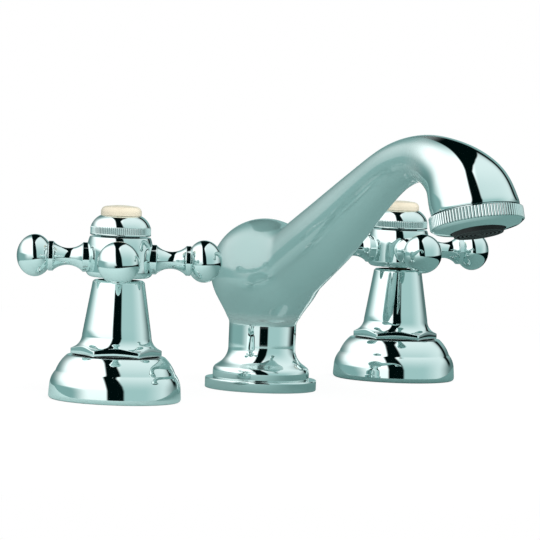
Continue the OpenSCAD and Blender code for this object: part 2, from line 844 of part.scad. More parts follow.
function neck_gap(p) =
    let (z = min(p[2], bulb_h)) norm([p[0], p[1], p[2] - z]) - neck_d / 2;
function bulb_gap(p) =
    let (z = p[2] - bulb_h) norm([p[0], p[1], z < 0 ? z / bulb_under : z]) - bulb_d / 2;
function arm_gap(p) =
    let (s = (p - root_p) * root_axis, on = max(s, -root_run / 3))
    norm(p - root_p - on * root_axis)
        - station_r[0] - (station_r[1] - station_r[0]) * on / root_run;

// The lesser of two distances, rounded where they meet
function blend(a, b, k) =
    let (h = max(k - abs(a - b), 0) / k) min(a, b) - h * h * k / 4;

function spout_gap(p) =
    blend(blend(neck_gap(p), bulb_gap(p), neck_blend), arm_gap(p), shoulder_blend);

// Radius at which a ray from a point leaves the blended spout
function ray_reach(p, dir, lo, hi, steps) =
    steps == 0 ? (lo + hi) / 2 :
    let (mid = (lo + hi) / 2)
    spout_gap(p + mid * dir) < 0
        ? ray_reach(p, dir, mid, hi, steps - 1)
        : ray_reach(p, dir, lo, mid, steps - 1);

body_sides = 30;
function ring_dir(lean, i, sides) =
    let (a = 360 * i / sides) [cos(a), sin(a) * cos(lean), sin(a) * sin(lean)];

// A section that follows the blended form, and one that is round
function blended_ring(p, lean) = [
    for (i = [0 : body_sides - 1])
        let (dir = ring_dir(lean, i, body_sides)) p + ray_reach(p, dir, 0, bulb_d, 14) * dir
];
function round_ring(p, lean, r, sides) = [
    for (i = [0 : sides - 1]) p + r * ring_dir(lean, i, sides)
];

// The line in front of the neck that the sections turn about, from level to the arm's lean
foot_top_z = flange_h + foot_h;
hinge_shares = [0.943, 0.54];
hinge_p = [0, -hinge_shares[0] * neck_d, foot_top_z + hinge_shares[1] * foot_hollow_r];
lean_root = station_leans[0];
fan_start = -hinge_p[1];
root_s = (hinge_p - root_p) * root_axis;
fan_end = norm(root_p + root_s * root_axis - hinge_p);
fan_steps = 10;
root_steps = 11;
arm_steps = 4;

// A section at share t of the turn about the hinge line
function fan_ring(t) =
    let (lean = t * lean_root, run = fan_start + t * (fan_end - fan_start))
    blended_ring(hinge_p + run * [0, cos(lean), sin(lean)], lean);

spout_rings = concat(
    [round_ring([0, 0, foot_top_z - overrun], 0, neck_d / 2 - fit_gap, body_sides)],
    [for (t = [0.15, 0.6]) blended_ring([0, 0, foot_top_z + t * (hinge_p[2] - foot_top_z)], 0)],
    [for (i = [0 : fan_steps]) fan_ring(i / fan_steps)],
    [for (i = [1 : root_steps])
        blended_ring(root_p + (root_s + i * (root_run - root_s) / root_steps) * root_axis, lean_root)],
    [for (i = [1 : station_last - 1]) for (j = [1 : arm_steps])
        let (t = j / arm_steps)
        round_ring(between(station_p, i, t), between(station_leans, i, t),
                   between(station_r, i, t), body_sides)]
);

// The way out of the mouth
mouth_axis = [0, -sin(mouth_tilt), -cos(mouth_tilt)];

// The waterway: a round tube from the foot through the bulb and along the arm
way_sides = 16;
way_rings = concat(
    [for (z = [flange_h + shank_entry, foot_top_z, hinge_p[2] + foot_hollow_r])
        round_ring([0, 0, z], 0, shank_bore_d / 2, way_sides)],
    [round_ring(bulb_p - [0, 0, neck_d / 4], lean_root / 2, shank_bore_d / 2, way_sides)],
    [for (i = [1 : station_last - 1]) for (t = [0, 0.5])
        round_ring(between(station_p, i, t), between(station_leans, i, t),
                   between(station_r, i, t) - spout_wall, way_sides)],
    [round_ring(mouth_p, 180 - mouth_tilt, thread_d / 2 - spout_wall, way_sides)],
    [round_ring(mouth_p + (thread_l + overrun) * mouth_axis, 180 - mouth_tilt,
                thread_d / 2 - spout_wall, way_sides)]
);

// A closed skin over rings of points
module loft(rings) {
    n = len(rings[0]);
    last = len(rings) - 1;
    polyhedron(
        points = [for (r = rings) for (p = r) p],
        faces = concat(
            [[for (i = [n - 1 : -1 : 0]) n - 1 - i]],
            [for (k = [0 : last - 1]) for (i = [0 : n - 1]) for (half = [0, 1])
                let (a = k * n + i, b = k * n + (i + 1) % n)
                half == 0 ? [a, a + n, b] : [b, a + n, b + n]],
            [[for (i = [0 : n - 1]) last * n + n - 1 - i]]
        )
    );
}

// Places a piece on the mouth's axis, with z running down and out of the mouth
module at_mouth() {
    at_spout() translate(mouth_p) rotate([180 - mouth_tilt, 0, 0]) children();
}

module foot() {
    bead_p = [foot_d / 2 - foot_bead_r, flange_h + foot_bead_h];
    hollow_p = [neck_d / 2 + foot_hollow_r, foot_top_z];
    flat_side = [cos(foot_slope), sin(foot_slope)];
    rotate_extrude() difference() {
        union() {
            translate([0, flange_h]) square([bead_p[0], foot_bead_h]);
            translate(bead_p) rotate(180) circle(foot_bead_r);
            polygon([[0, flange_h], [bead_p[0], flange_h], bead_p + foot_bead_r * flat_side,
                     hollow_p - foot_hollow_r * flat_side, [neck_d / 2, foot_top_z],
                     [0, foot_top_z]]);
        }
        translate(hollow_p) circle(foot_hollow_r, $fn = 96);
    }
}

// Places the grub screw at the back of the foot, with z running in towards the shank
module at_grub() {
    at_spout() translate([0, foot_d / 2, flange_h + foot_bead_h])
        rotate([90, 0, 0]) children();
}

grub_wall = (foot_d - shank_d) / 2;
grub_sink = loose_gap;

module spout_body() {
    color(CHROME) difference() {
        union() {
            foot();
            at_spout() loft(spout_rings);
            at_mouth() translate([0, 0, -overrun]) cylinder(d = thread_d, h = thread_l + overrun);
        }
        translate([0, 0, flange_h - overrun])
            cylinder(d = shank_d + 2 * fit_gap, h = shank_entry + overrun + fit_gap);
        at_spout() loft(way_rings);
        at_grub() translate([0, 0, -overrun])
            cylinder(d = grub_d + 2 * fit_gap, h = grub_wall + 2 * overrun);
    }
}

module spout_grub_screw() {
    body_l = grub_wall - grub_sink - loose_gap;
    color(STEEL) at_grub() translate([0, 0, grub_sink]) difference() {
        union() {
            cylinder(d = grub_d, h = body_l);
            cylinder(d = grub_tip_d, h = grub_wall - grub_sink + grub_groove - loose_gap);
        }
        translate([0, 0, -overrun])
            cylinder(d = grub_socket_af / cos(30), h = body_l / 2 + overrun, $fn = 6);
    }
}

module spout_flange() {
    color(CHROME) difference() {
        rotate_extrude() rounded_section(flange_d / 2, flange_h, flange_edge_r, flange_edge_r);
        translate([0, 0, -overrun])
            cylinder(d = shank_d + 2 * loose_gap, h = flange_h + 2 * overrun);
    }
}

tee_top_z = backnut_z - tee_gap;
shank_foot_z = link_z + link_d / 2;

// Height of each O-ring on the shank, the upper one first
function shank_seal_z(i) = flange_h + shank_entry - 2 * oring_w - i * shank_seal_pitch;

module spout_shank() {
    grub_z = flange_h + foot_bead_h;
    grub_half = grub_tip_d / 2 + loose_gap;
    color(BRASS) difference() {
        ring(shank_d, shank_bore_d, shank_foot_z, flange_h + shank_entry);
        for (i = [0, 1])
            ring(shank_d + overrun, shank_d - 2 * oring_w,
                 shank_seal_z(i) - oring_w, shank_seal_z(i) + oring_w);
        ring(shank_d + overrun, shank_d - 2 * grub_groove, grub_z - grub_half, grub_z + grub_half);
    }
}

module spout_seals() {
    color(RUBBER) for (i = [0, 1])
        translate([0, 0, shank_seal_z(i)])
            rotate_extrude() translate([shank_d / 2 - oring_w / 2, 0])
                circle(d = oring_w - fit_gap);
}

module spout_deck_washer() {
    color(RUBBER) ring(spout_washer_d, shank_d + 2 * loose_gap, washer_z, -deck_thickness);
}

module spout_clamp_washer() {
    color(STEEL) ring(spout_washer_d, shank_d + 2 * loose_gap, clamp_z, washer_z);
}

module spout_backnut() {
    color(BRASS) hex_nut(spout_backnut_af, shank_d + 2 * fit_gap, backnut_z, clamp_z);
}

module spout_tee() {
    color(BRASS) difference() {
        union() {
            translate([0, 0, tee_top_z - tee_h]) cylinder(d = tee_d, h = tee_h);
            for (m = [0, 1]) mirror([m, 0, 0]) port_body(tee_port_x);
        }
        for (m = [0, 1]) mirror([m, 0, 0]) port_bore(tee_port_x);
        translate([0, 0, shank_foot_z])
            cylinder(d = shank_d + 2 * fit_gap, h = tee_top_z - shank_foot_z + overrun);
        translate([0, 0, link_z]) cylinder(d = shank_bore_d, h = tee_top_z - link_z);
    }
}

// Aerator

module aerator_ring() {
    cone_r = ring_d / 2 - 1.5 * ring_reed_depth;
    band_top = ring_gap + ring_knurl_h;
    cone_z = ring_h - ring_cone_h;
    color(CHROME) at_mouth() difference() {
        union() {
            translate([0, 0, ring_gap])
                reeded_band(ring_d, ring_reed_depth, ring_reeds, ring_knurl_h);
            rotate_extrude() polygon([
                [0, band_top], [cone_r, band_top],
                [cone_r - ring_cone_step / 3, (band_top + cone_z) / 2],
                [cone_r - ring_cone_step, cone_z], [ring_bore_d / 2, ring_h], [0, ring_h]
            ]);
        }
        translate([0, 0, ring_gap - overrun])
            cylinder(d = thread_d + 2 * fit_gap, h = ring_h - ring_floor - ring_gap + overrun);
        cylinder(d = ring_bore_d, h = ring_h + overrun);
    }
}

module aerator_jet() {
    flange_z = ring_h - ring_floor - jet_flange_h;
    pitch = jet_face_d / 2 / (jet_grooves + 1);
    color(STEEL) at_mouth() difference() {
        union() {
            translate([0, 0, flange_z]) cylinder(d = thread_d - 2 * fit_gap, h = jet_flange_h);
            translate([0, 0, flange_z])
                cylinder(d1 = jet_d, d2 = jet_face_d, h = jet_flange_h + jet_h);
        }
        for (i = [1 : jet_grooves])
            ring(2 * i * pitch + jet_groove, 2 * i * pitch - jet_groove,
                 flange_z + jet_flange_h + jet_h - jet_groove, ring_h + jet_h);
    }
}

module aerator_washer() {
    flange_z = ring_h - ring_floor - jet_flange_h;
    color(RUBBER) at_mouth() ring(thread_d - 2 * fit_gap, ring_bore_d, thread_l, flange_z);
}

// Link

// Places a tube fitting at the end of a port, with z running out along the tube
module at_ports() {
    for (s = [-1, 1])
        translate([s * valve_spacing / 2, 0, link_z]) rotate([0, -90 * s, 0])
            translate([0, 0, valve_port_x]) children();
    for (s = [-1, 1])
        translate([0, 0, link_z]) rotate([0, 90 * s, 0]) translate([0, 0, tee_port_x]) children();
}

// The tube from a valve's port to the tee, on the side that the sign gives
module link_tube(s) {
    x0 = tee_port_x - tube_entry;
    x1 = valve_spacing / 2 - valve_port_x + tube_entry;
    color(CHROME) translate([s > 0 ? x0 : -x1, 0, link_z]) rotate([0, 90, 0]) difference() {
        cylinder(d = link_d, h = x1 - x0);
        translate([0, 0, -overrun])
            cylinder(d = link_d - 2 * link_wall, h = x1 - x0 + 2 * overrun);
    }
}

module union_nuts() {
    color(BRASS) at_ports() difference() {
        translate([0, 0, -union_grip]) rotate([0, 0, 30])
            cylinder(d = union_af / cos(30), h = union_l, $fn = 6);
        translate([0, 0, -union_grip - overrun])
            cylinder(d = port_d + 2 * fit_gap, h = union_grip + olive_l + overrun + fit_gap);
        cylinder(d = link_d + 2 * fit_gap, h = union_l);
    }
}

module olives() {
    color(BRASS) at_ports() ring(olive_d, link_d + 2 * fit_gap, 0, olive_l);
}

for (side = SIDES) {
    at_head(side) index();
    at_head(side) index_collar();
    at_head(side) handle_hub();
    at_head(side) handle_arms();
    at_head(side) handle_screw();
    at_head(side) spindle();
    at_head(side) spindle_seals();
    at_head(side) circlip();
    at_head(side) moving_disc();
    at_valve(side) fixed_disc();
    at_valve(side) seat_seal();
    at_valve(side) headwork();
    at_valve(side) shroud();
    at_valve(side) escutcheon();
    at_valve(side) mirror([side == "hot" ? 0 : 1, 0, 0]) valve_body();
    at_valve(side) deck_seal();
    at_valve(side) deck_washer();
    at_valve(side) clamp_washer();
    at_valve(side) backnut();
    link_tube(side_sign(side));
}
spout_body();
spout_flange();
spout_shank();
spout_seals();
spout_grub_screw();
spout_deck_washer();
spout_clamp_washer();
spout_backnut();
spout_tee();
aerator_ring();
aerator_jet();
aerator_washer();
union_nuts();
olives();
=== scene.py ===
"""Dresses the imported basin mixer: polished chrome pieces, finishes, studio and camera."""

import logging
import math
from collections.abc import Callable, Sequence
from dataclasses import dataclass, field
from enum import Enum

import bpy
import numpy as np
from mathutils import Matrix, Vector


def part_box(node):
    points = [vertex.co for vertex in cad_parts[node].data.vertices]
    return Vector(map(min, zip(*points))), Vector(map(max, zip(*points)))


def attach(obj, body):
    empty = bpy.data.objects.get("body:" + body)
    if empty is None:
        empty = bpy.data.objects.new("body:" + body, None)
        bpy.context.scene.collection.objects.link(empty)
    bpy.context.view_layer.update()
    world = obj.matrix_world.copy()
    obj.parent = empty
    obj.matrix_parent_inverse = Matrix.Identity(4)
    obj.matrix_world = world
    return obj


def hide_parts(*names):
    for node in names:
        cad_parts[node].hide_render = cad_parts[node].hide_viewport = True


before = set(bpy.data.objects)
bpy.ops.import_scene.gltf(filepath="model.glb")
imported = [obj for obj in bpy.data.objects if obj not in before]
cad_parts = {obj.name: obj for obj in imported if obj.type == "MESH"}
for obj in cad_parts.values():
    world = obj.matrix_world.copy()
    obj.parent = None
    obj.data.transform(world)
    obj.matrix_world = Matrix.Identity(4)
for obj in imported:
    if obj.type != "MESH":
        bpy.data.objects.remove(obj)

MM = 0.001
UP = (0.0, 0.0, 1.0)
# Clearance in mm between pieces that fit into each other.
FIT = 0.05
REED_SAMPLES = 10
REED_ROUND = 0.8
BELL_SIDES = 360
SHELL_SIDES = 224
HUB_SIDES = 192
BUTTON_SIDES = 128
ARM_SIDES = 112
BALL_POINTS = 400
HERE = Matrix.Identity(4)
LOG = logging.getLogger("basin_mixer")
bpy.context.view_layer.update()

Colour = tuple[float, float, float]
Pair = tuple[float, float]
Number = float | int
Values = np.ndarray | float


class Side(Enum):
    """The two valves, by the water that they carry."""

    HOT = "hot"
    COLD = "cold"


class Body(Enum):
    """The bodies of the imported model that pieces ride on."""

    BASE = "base"
    HOT_HEAD = "hot_head"
    COLD_HEAD = "cold_head"
    SPOUT = "spout"


def math_node(operation: str, swapped: bool = False) -> "Callable[[Wire, Wire | Number], Wire]":
    """Gives a method of Wire that adds one Math node.

    Args:
        operation: the node's operation.
        swapped: whether the wire is its second input.

    Returns:
        The method.
    """

    def method(wire: "Wire", other: "Wire | Number") -> "Wire":
        """Gives the node's result."""
        first, second = (other, wire) if swapped else (wire, other)
        return wire.canvas.node("ShaderNodeMath", {"operation": operation}, {0: first, 1: second})

    return method


class Wire:
    """A socket in a shader expression: operators and methods on it add nodes."""

    def __init__(self, canvas: "Canvas", socket: bpy.types.NodeSocket) -> None:
        """Keeps the canvas that new nodes go on and the socket itself."""
        self.canvas = canvas
        self.socket = socket

    __add__ = math_node("ADD")
    __radd__ = math_node("ADD", True)
    __sub__ = math_node("SUBTRACT")
    __rsub__ = math_node("SUBTRACT", True)
    __mul__ = math_node("MULTIPLY")
    __rmul__ = math_node("MULTIPLY", True)
    __truediv__ = math_node("DIVIDE")

    def smooth(self, low: float, high: float) -> "Wire":
        """Gives a smooth step that is 0 at low and 1 at high."""
        settings = {"interpolation_type": "SMOOTHSTEP", "clamp": True}
        values = {0: self, 1: low, 2: high, 3: 0.0, 4: 1.0}
        return self.canvas.node("ShaderNodeMapRange", settings, values)

    def vector(self, operation: str, *others: object, output: int | str = 0) -> "Wire":
        """Adds one Vector Math node on this wire and the other inputs."""
        values = dict(enumerate((self, *others)))
        return self.canvas.node("ShaderNodeVectorMath", {"operation": operation}, values, output)

    def along(self, direction: Sequence[float]) -> "Wire":
        """Gives how far this vector reaches along a direction."""
        return self.vector("DOT_PRODUCT", direction, output="Value")

    def length(self) -> "Wire":
        """Gives this vector's length."""
        return self.vector("LENGTH", output="Value")


class Canvas:
    """A node tree that is built by expressions."""

    def __init__(self, tree: bpy.types.NodeTree) -> None:
        """Empties the tree and keeps it."""
        self.tree = tree
        tree.nodes.clear()

    def node(
        self,
        kind: str,
        settings: dict[str, object],
        values: dict[int | str, object],
        output: int | str = 0,
    ) -> Wire:
        """Adds one node.

        Args:
            kind: the node's type.
            settings: its properties, set first; "stops" fills a colour ramp.
            values: numbers, colours or wires for its inputs, by name or index.
            output: the output that the wire returned stands for.

        Returns:
            The wire of that output.
        """
        made = self.tree.nodes.new(kind)
        for name, value in settings.items():
            if name == "stops":
                self.fill_ramp(made.color_ramp, value)
            else:
                setattr(made, name, value)
        for key, value in values.items():
            if isinstance(value, Wire):
                self.tree.links.new(value.socket, made.inputs[key])
            else:
                made.inputs[key].default_value = value
        return Wire(self, made.outputs[output] if made.outputs else None)

    @staticmethod
    def fill_ramp(ramp: bpy.types.ColorRamp, stops: Sequence[tuple[float, Colour]]) -> None:
        """Sets a colour ramp's stops.

        Args:
            ramp: the ramp.
            stops: places from 0 to 1 with their colours, in order.
        """
        while len(ramp.elements) > 1:
            ramp.elements.remove(ramp.elements[-1])
        ramp.elements[0].position = stops[0][0]
        ramp.elements[0].color = (*stops[0][1], 1.0)
        for place, colour in stops[1:]:
            ramp.elements.new(place).color = (*colour, 1.0)

    def mix(self, share: Wire | Number, first: object, second: object) -> Wire:
        """Mixes two colours by a share."""
        values = {0: share, 6: self.colour(first), 7: self.colour(second)}
        return self.node("ShaderNodeMix", {"data_type": "RGBA"}, values, 2)

    @staticmethod
    def colour(value: object) -> object:
        """Gives a colour four channels, and leaves a wire as it is."""
        return value if isinstance(value, Wire) else (*value, 1.0)

    def mix_shaders(self, share: Wire | Number, first: Wire, second: Wire) -> Wire:
        """Mixes two shaders by a share."""
        return self.node("ShaderNodeMixShader", {}, {0: share, 1: first, 2: second})

    def glow(self, colour: Colour) -> Wire:
        """Gives a surface that glows in a colour."""
        return self.node("ShaderNodeEmission", {}, {"Color": (*colour, 1.0), "Strength": 1.0})

    def ray(self, kind: str) -> Wire:
        """Gives 1 for a kind of ray, such as Is Camera Ray, and 0 for the others."""
        return self.node("ShaderNodeLightPath", {}, {}, kind)

    def spot(self) -> Wire:
        """Gives the shaded point in object space."""
        return self.node("ShaderNodeTexCoord", {}, {}, "Object")

    def noise(self, scale: float, detail: float = 3.0, stretch: Colour = (1.0, 1.0, 1.0)) -> Wire:
        """Noise in object space, from 0 to 1.

        Args:
            scale: waves per metre.
            detail: octaves.
            stretch: factors on the three axes.

        Returns:
            The noise as a number.
        """
        scaled = self.spot().vector("MULTIPLY", stretch)
        values = {"Vector": scaled, "Scale": scale, "Detail": detail}
        return self.node("ShaderNodeTexNoise", {}, values)

    def bump(self, height: Wire, strength: float, distance: float) -> Wire:
        """A Bump node's normal from a height."""
        values = {"Strength": strength, "Distance": distance, "Height": height}
        return self.node("ShaderNodeBump", {}, values)


@dataclass(frozen=True)
class Finish:
    """A plain finish: one colour with a fine variation, and its gloss."""

    name: str
    slot: str
    colour: Colour
    roughness: float
    metallic: float = 0.0
    grain: float = 400.0
    grain_depth: float = 0.00002
    shade: float = 0.9
    coat: float = 0.0
    stretch: Colour = (1.0, 1.0, 1.0)

    BROADER = 12
    GLOSS_LEAST = 0.85
    GLOSS_SPREAD = 0.3
    GRAIN_STRENGTH = 0.5

    def material(self) -> bpy.types.Material:
        """Makes the material, or gives the one made before."""
        made = bpy.data.materials.get(self.name)
        if made is None:
            made = bpy.data.materials.new(self.name)
            made.use_nodes = True
            canvas = Canvas(made.node_tree)
            shader = canvas.node("ShaderNodeBsdfPrincipled", {}, self.inputs(canvas))
            canvas.node("ShaderNodeOutputMaterial", {}, {"Surface": shader})
        return made

    def inputs(self, canvas: Canvas) -> dict[str, object]:
        """Gives what feeds the shader.

        Args:
            canvas: the material's canvas.

        Returns:
            Numbers, colours or wires by the shader's inputs.
        """
        grain = canvas.noise(self.grain, stretch=self.stretch)
        broad = canvas.noise(self.grain / self.BROADER)
        return {
            "Base Color": canvas.mix(broad, self.colour, self.darker()),
            "Metallic": self.metallic,
            "Roughness": self.roughness * (self.GLOSS_LEAST + self.GLOSS_SPREAD * grain),
            "Coat Weight": self.coat,
            "Normal": canvas.bump(grain, self.GRAIN_STRENGTH, self.grain_depth),
        }

    def darker(self) -> Colour:
        """Gives the colour in its darker shade."""
        return tuple(c * self.shade for c in self.colour)


@dataclass(frozen=True)
class ChromeFinish(Finish):
    """Mirror chrome: a faint polishing wave, and a haze that comes and goes."""

    wave: float = 45.0
    wave_depth: float = 0.00006
    wave_strength: float = 0.25
    haze: float = 0.05
    haze_range: Pair = (0.45, 0.8)
    haze_shade: float = 0.5

    def inputs(self, canvas: Canvas) -> dict[str, object]:
        """Gives what feeds the shader.

        Args:
            canvas: the material's canvas.

        Returns:
            Numbers, colours or wires by the shader's inputs.
        """
        hazy = self.hazy(canvas)
        return {
            "Base Color": canvas.mix(hazy * self.haze_shade, self.colour, self.darker()),
            "Metallic": self.metallic,
            "Roughness": self.roughness + self.haze * hazy,
            "Normal": self.waved(canvas, self.wavy(canvas)),
        }

    def hazy(self, canvas: Canvas, stretch: Colour = (1.0, 1.0, 0.25)) -> Wire:
        """Gives how far the haze covers a place, from 0 to 1."""
        return canvas.noise(self.grain, 4.0, stretch).smooth(*self.haze_range)

    def wavy(self, canvas: Canvas) -> Wire:
        """Gives the height of the polishing wave, from 0 to 1."""
        return canvas.noise(self.wave, 1.5)

    def waved(self, canvas: Canvas, wavy: Wire) -> Wire:
        """Gives the normal of the polishing wave."""
        return canvas.bump(wavy, self.wave_strength, self.wave_depth)


@dataclass(frozen=True)
class ReflectionPaintedChrome(ChromeFinish):
    """Chrome painted over a part of its piece, in object space, with a flat teal that is less
    metallic and rougher: a painted reflection of its surroundings.
    """

    # Flat teal painted in place of the chrome's reflection: painted reflection.
    painted_reflection: Colour = (0.23, 0.415, 0.40)
    painted_reflection_roughness: float = 0.30
    painted_reflection_metal: float = 0.2
    coat_ior: float = 2.3
    forward: Colour = (-0.2756, -0.9613, 0.0)
    foot: Pair = (0.026, 0.034)
    mouth: Pair = (0.099, 0.119)

    def inputs(self, canvas: Canvas) -> dict[str, object]:
        """Gives what feeds the shader.

        Args:
            canvas: the material's canvas.

        Returns:
            Numbers, colours or wires by the shader's inputs.
        """
        wavy = self.wavy(canvas)
        spot = canvas.spot()
        ahead = spot.along(self.forward).smooth(*self.mouth)
        # Share of the painted reflection: above the foot and short of the mouth.
        painted_reflection = spot.along(UP).smooth(*self.foot) * (1 - ahead)
        return {
            "Base Color": canvas.mix(painted_reflection, self.colour, self.painted_reflection),
            "Metallic": self.metallic - (1 - self.painted_reflection_metal) * painted_reflection,
            "Roughness": self.roughness + self.painted_reflection_roughness * painted_reflection * (0.9 + 0.2 * wavy),
            "Coat Weight": painted_reflection * self.coat,
            "Coat IOR": self.coat_ior,
            "Normal": self.waved(canvas, wavy),
        }


@dataclass(frozen=True)
class SeamShadedChrome(ChromeFinish):
    """Chrome that is painted dark and dull in the seam between two pieces, at a height, as painted
    shade.
    """

    seam: Pair = (0.0176, 0.01858)
    axis: float = 0.1
    reach: float = 0.0168
    edges: Colour = (0.0002, 0.0001, 0.002)
    # Colour of the painted shade in the seam.
    seam_shade: Colour = (0.012, 0.02, 0.02)
    dullness: float = 0.5
    gloss: float = 0.1

    def inputs(self, canvas: Canvas) -> dict[str, object]:
        """Gives what feeds the shader.

        Args:
            canvas: the material's canvas.

        Returns:
            Numbers, colours or wires by the shader's inputs.
        """
        spot = canvas.spot()
        height = spot.along(UP)
        from_axis = ((1.0, 1.0, 0.0), (-self.axis, 0.0, 0.0))
        away = spot.vector("ABSOLUTE").vector("MULTIPLY_ADD", *from_axis).length()
        low, high = self.seam
        foot, head, side = self.edges
        # Share of the painted shade: the seam's heights, within reach of the valve's axis.
        held = height.smooth(low - foot, low)
        held = held * (1 - height.smooth(high, high + head))
        held = held * (1 - away.smooth(self.reach, self.reach + side))
        hazed = self.roughness + self.haze * self.hazy(canvas)
        return {
            "Base Color": canvas.mix(held, self.colour, self.seam_shade),
            "Metallic": self.metallic - held,
            "Roughness": hazed + self.dullness * held,
            "Specular IOR Level": self.gloss,
            "Normal": self.waved(canvas, self.wavy(canvas)),
        }


@dataclass(frozen=True)
class ReededChrome(ChromeFinish):
    """Chrome that is painted darker in its reeds' grooves and dark and dull in its seam, as painted
    shade.
    """

    # Colour of the painted shade in the grooves and the seam.
    groove: Colour = (0.05, 0.10, 0.10)
    groove_range: Pair = (0.55, 0.95)
    # Where the attribute nears 1, at the seam and the grooves' bottoms, the chrome is painted dark
    # and dull as shade.
    seam_range: Pair = (0.98, 1.0)
    seam_dull: float = 0.8

    def inputs(self, canvas: Canvas) -> dict[str, object]:
        """Gives what feeds the shader.

        Args:
            canvas: the material's canvas.

        Returns:
            Numbers, colours or wires by the shader's inputs.
        """
        # The groove attribute gives the painted shade: 1 in the seam, and the depth share in the
        # grooves.
        depth = canvas.node("ShaderNodeAttribute", {"attribute_name": "groove"}, {}, "Fac")
        painted_groove_shade = depth.smooth(*self.groove_range)
        return {
            "Base Color": canvas.mix(painted_groove_shade, self.colour, self.groove),
            "Metallic": self.metallic - self.seam_dull * depth.smooth(*self.seam_range),
            "Roughness": self.roughness + self.haze * self.hazy(canvas, (1.0, 1.0, 1.0)),
        }


# Slot, colour, roughness and metallic of the bright plate.
BRIGHT = ("polished_chrome", (0.78, 0.88, 0.87), 0.02, 1.0)
CHROME = ChromeFinish("polished_chrome_plate", *BRIGHT, 160.0, shade=0.97)
# The casting's chrome carries a painted reflection over its neck, bulb and arm.
CAST_CHROME = ReflectionPaintedChrome("polished_chrome_casting", *BRIGHT, coat=1.0)
# Chrome with painted shade in the seam where the shroud meets the escutcheon.
SEAM_SHADED_CHROME = SeamShadedChrome("polished_chrome_painted_seam_shade", *BRIGHT, 160.0)
# Chrome with painted shade in its grooves and its seam.
REEDED_CHROME = ReededChrome(
    "polished_chrome_reeds", "polished_chrome", (0.80, 0.89, 0.88), 0.05, 1.0, 160.0
)
# Brass painted almost black: painted shade on the spindle and headwork seen through the gap inside
# the shroud.
GAP_SHADE_BRASS = Finish("brass_painted_gap_shade", "brass", (0.10, 0.08, 0.05), 0.5, 1.0, 900.0, shade=0.7)
IVORY = Finish(
    "ivory_glaze", "ivory_index", (0.77, 0.70, 0.545), 0.3, 0.0, 900.0, 0.000004, 0.97, 0.1
)
BRASS = Finish(
    "machined_brass", "brass", (0.62, 0.45, 0.20), 0.24, 1.0, 900.0, shade=0.86,
    stretch=(0.2, 0.2, 3.0),
)
STEEL = Finish("stainless", "stainless_steel", (0.58, 0.59, 0.60), 0.30, 1.0, 1200.0, 0.00001)
RUBBER = Finish("moulded_rubber", "black_rubber", (0.022, 0.022, 0.024), 0.62, 0.0, 1500.0, 0.00003)
CERAMIC = Finish("lapped_ceramic", "valve_ceramic", (0.86, 0.85, 0.80), 0.28, 0.0, 1500.0, 0.000005)
JET = Finish("jet_plastic", "dark_jet", (0.006, 0.007, 0.007), 0.55, 0.0, 1400.0, shade=0.8)


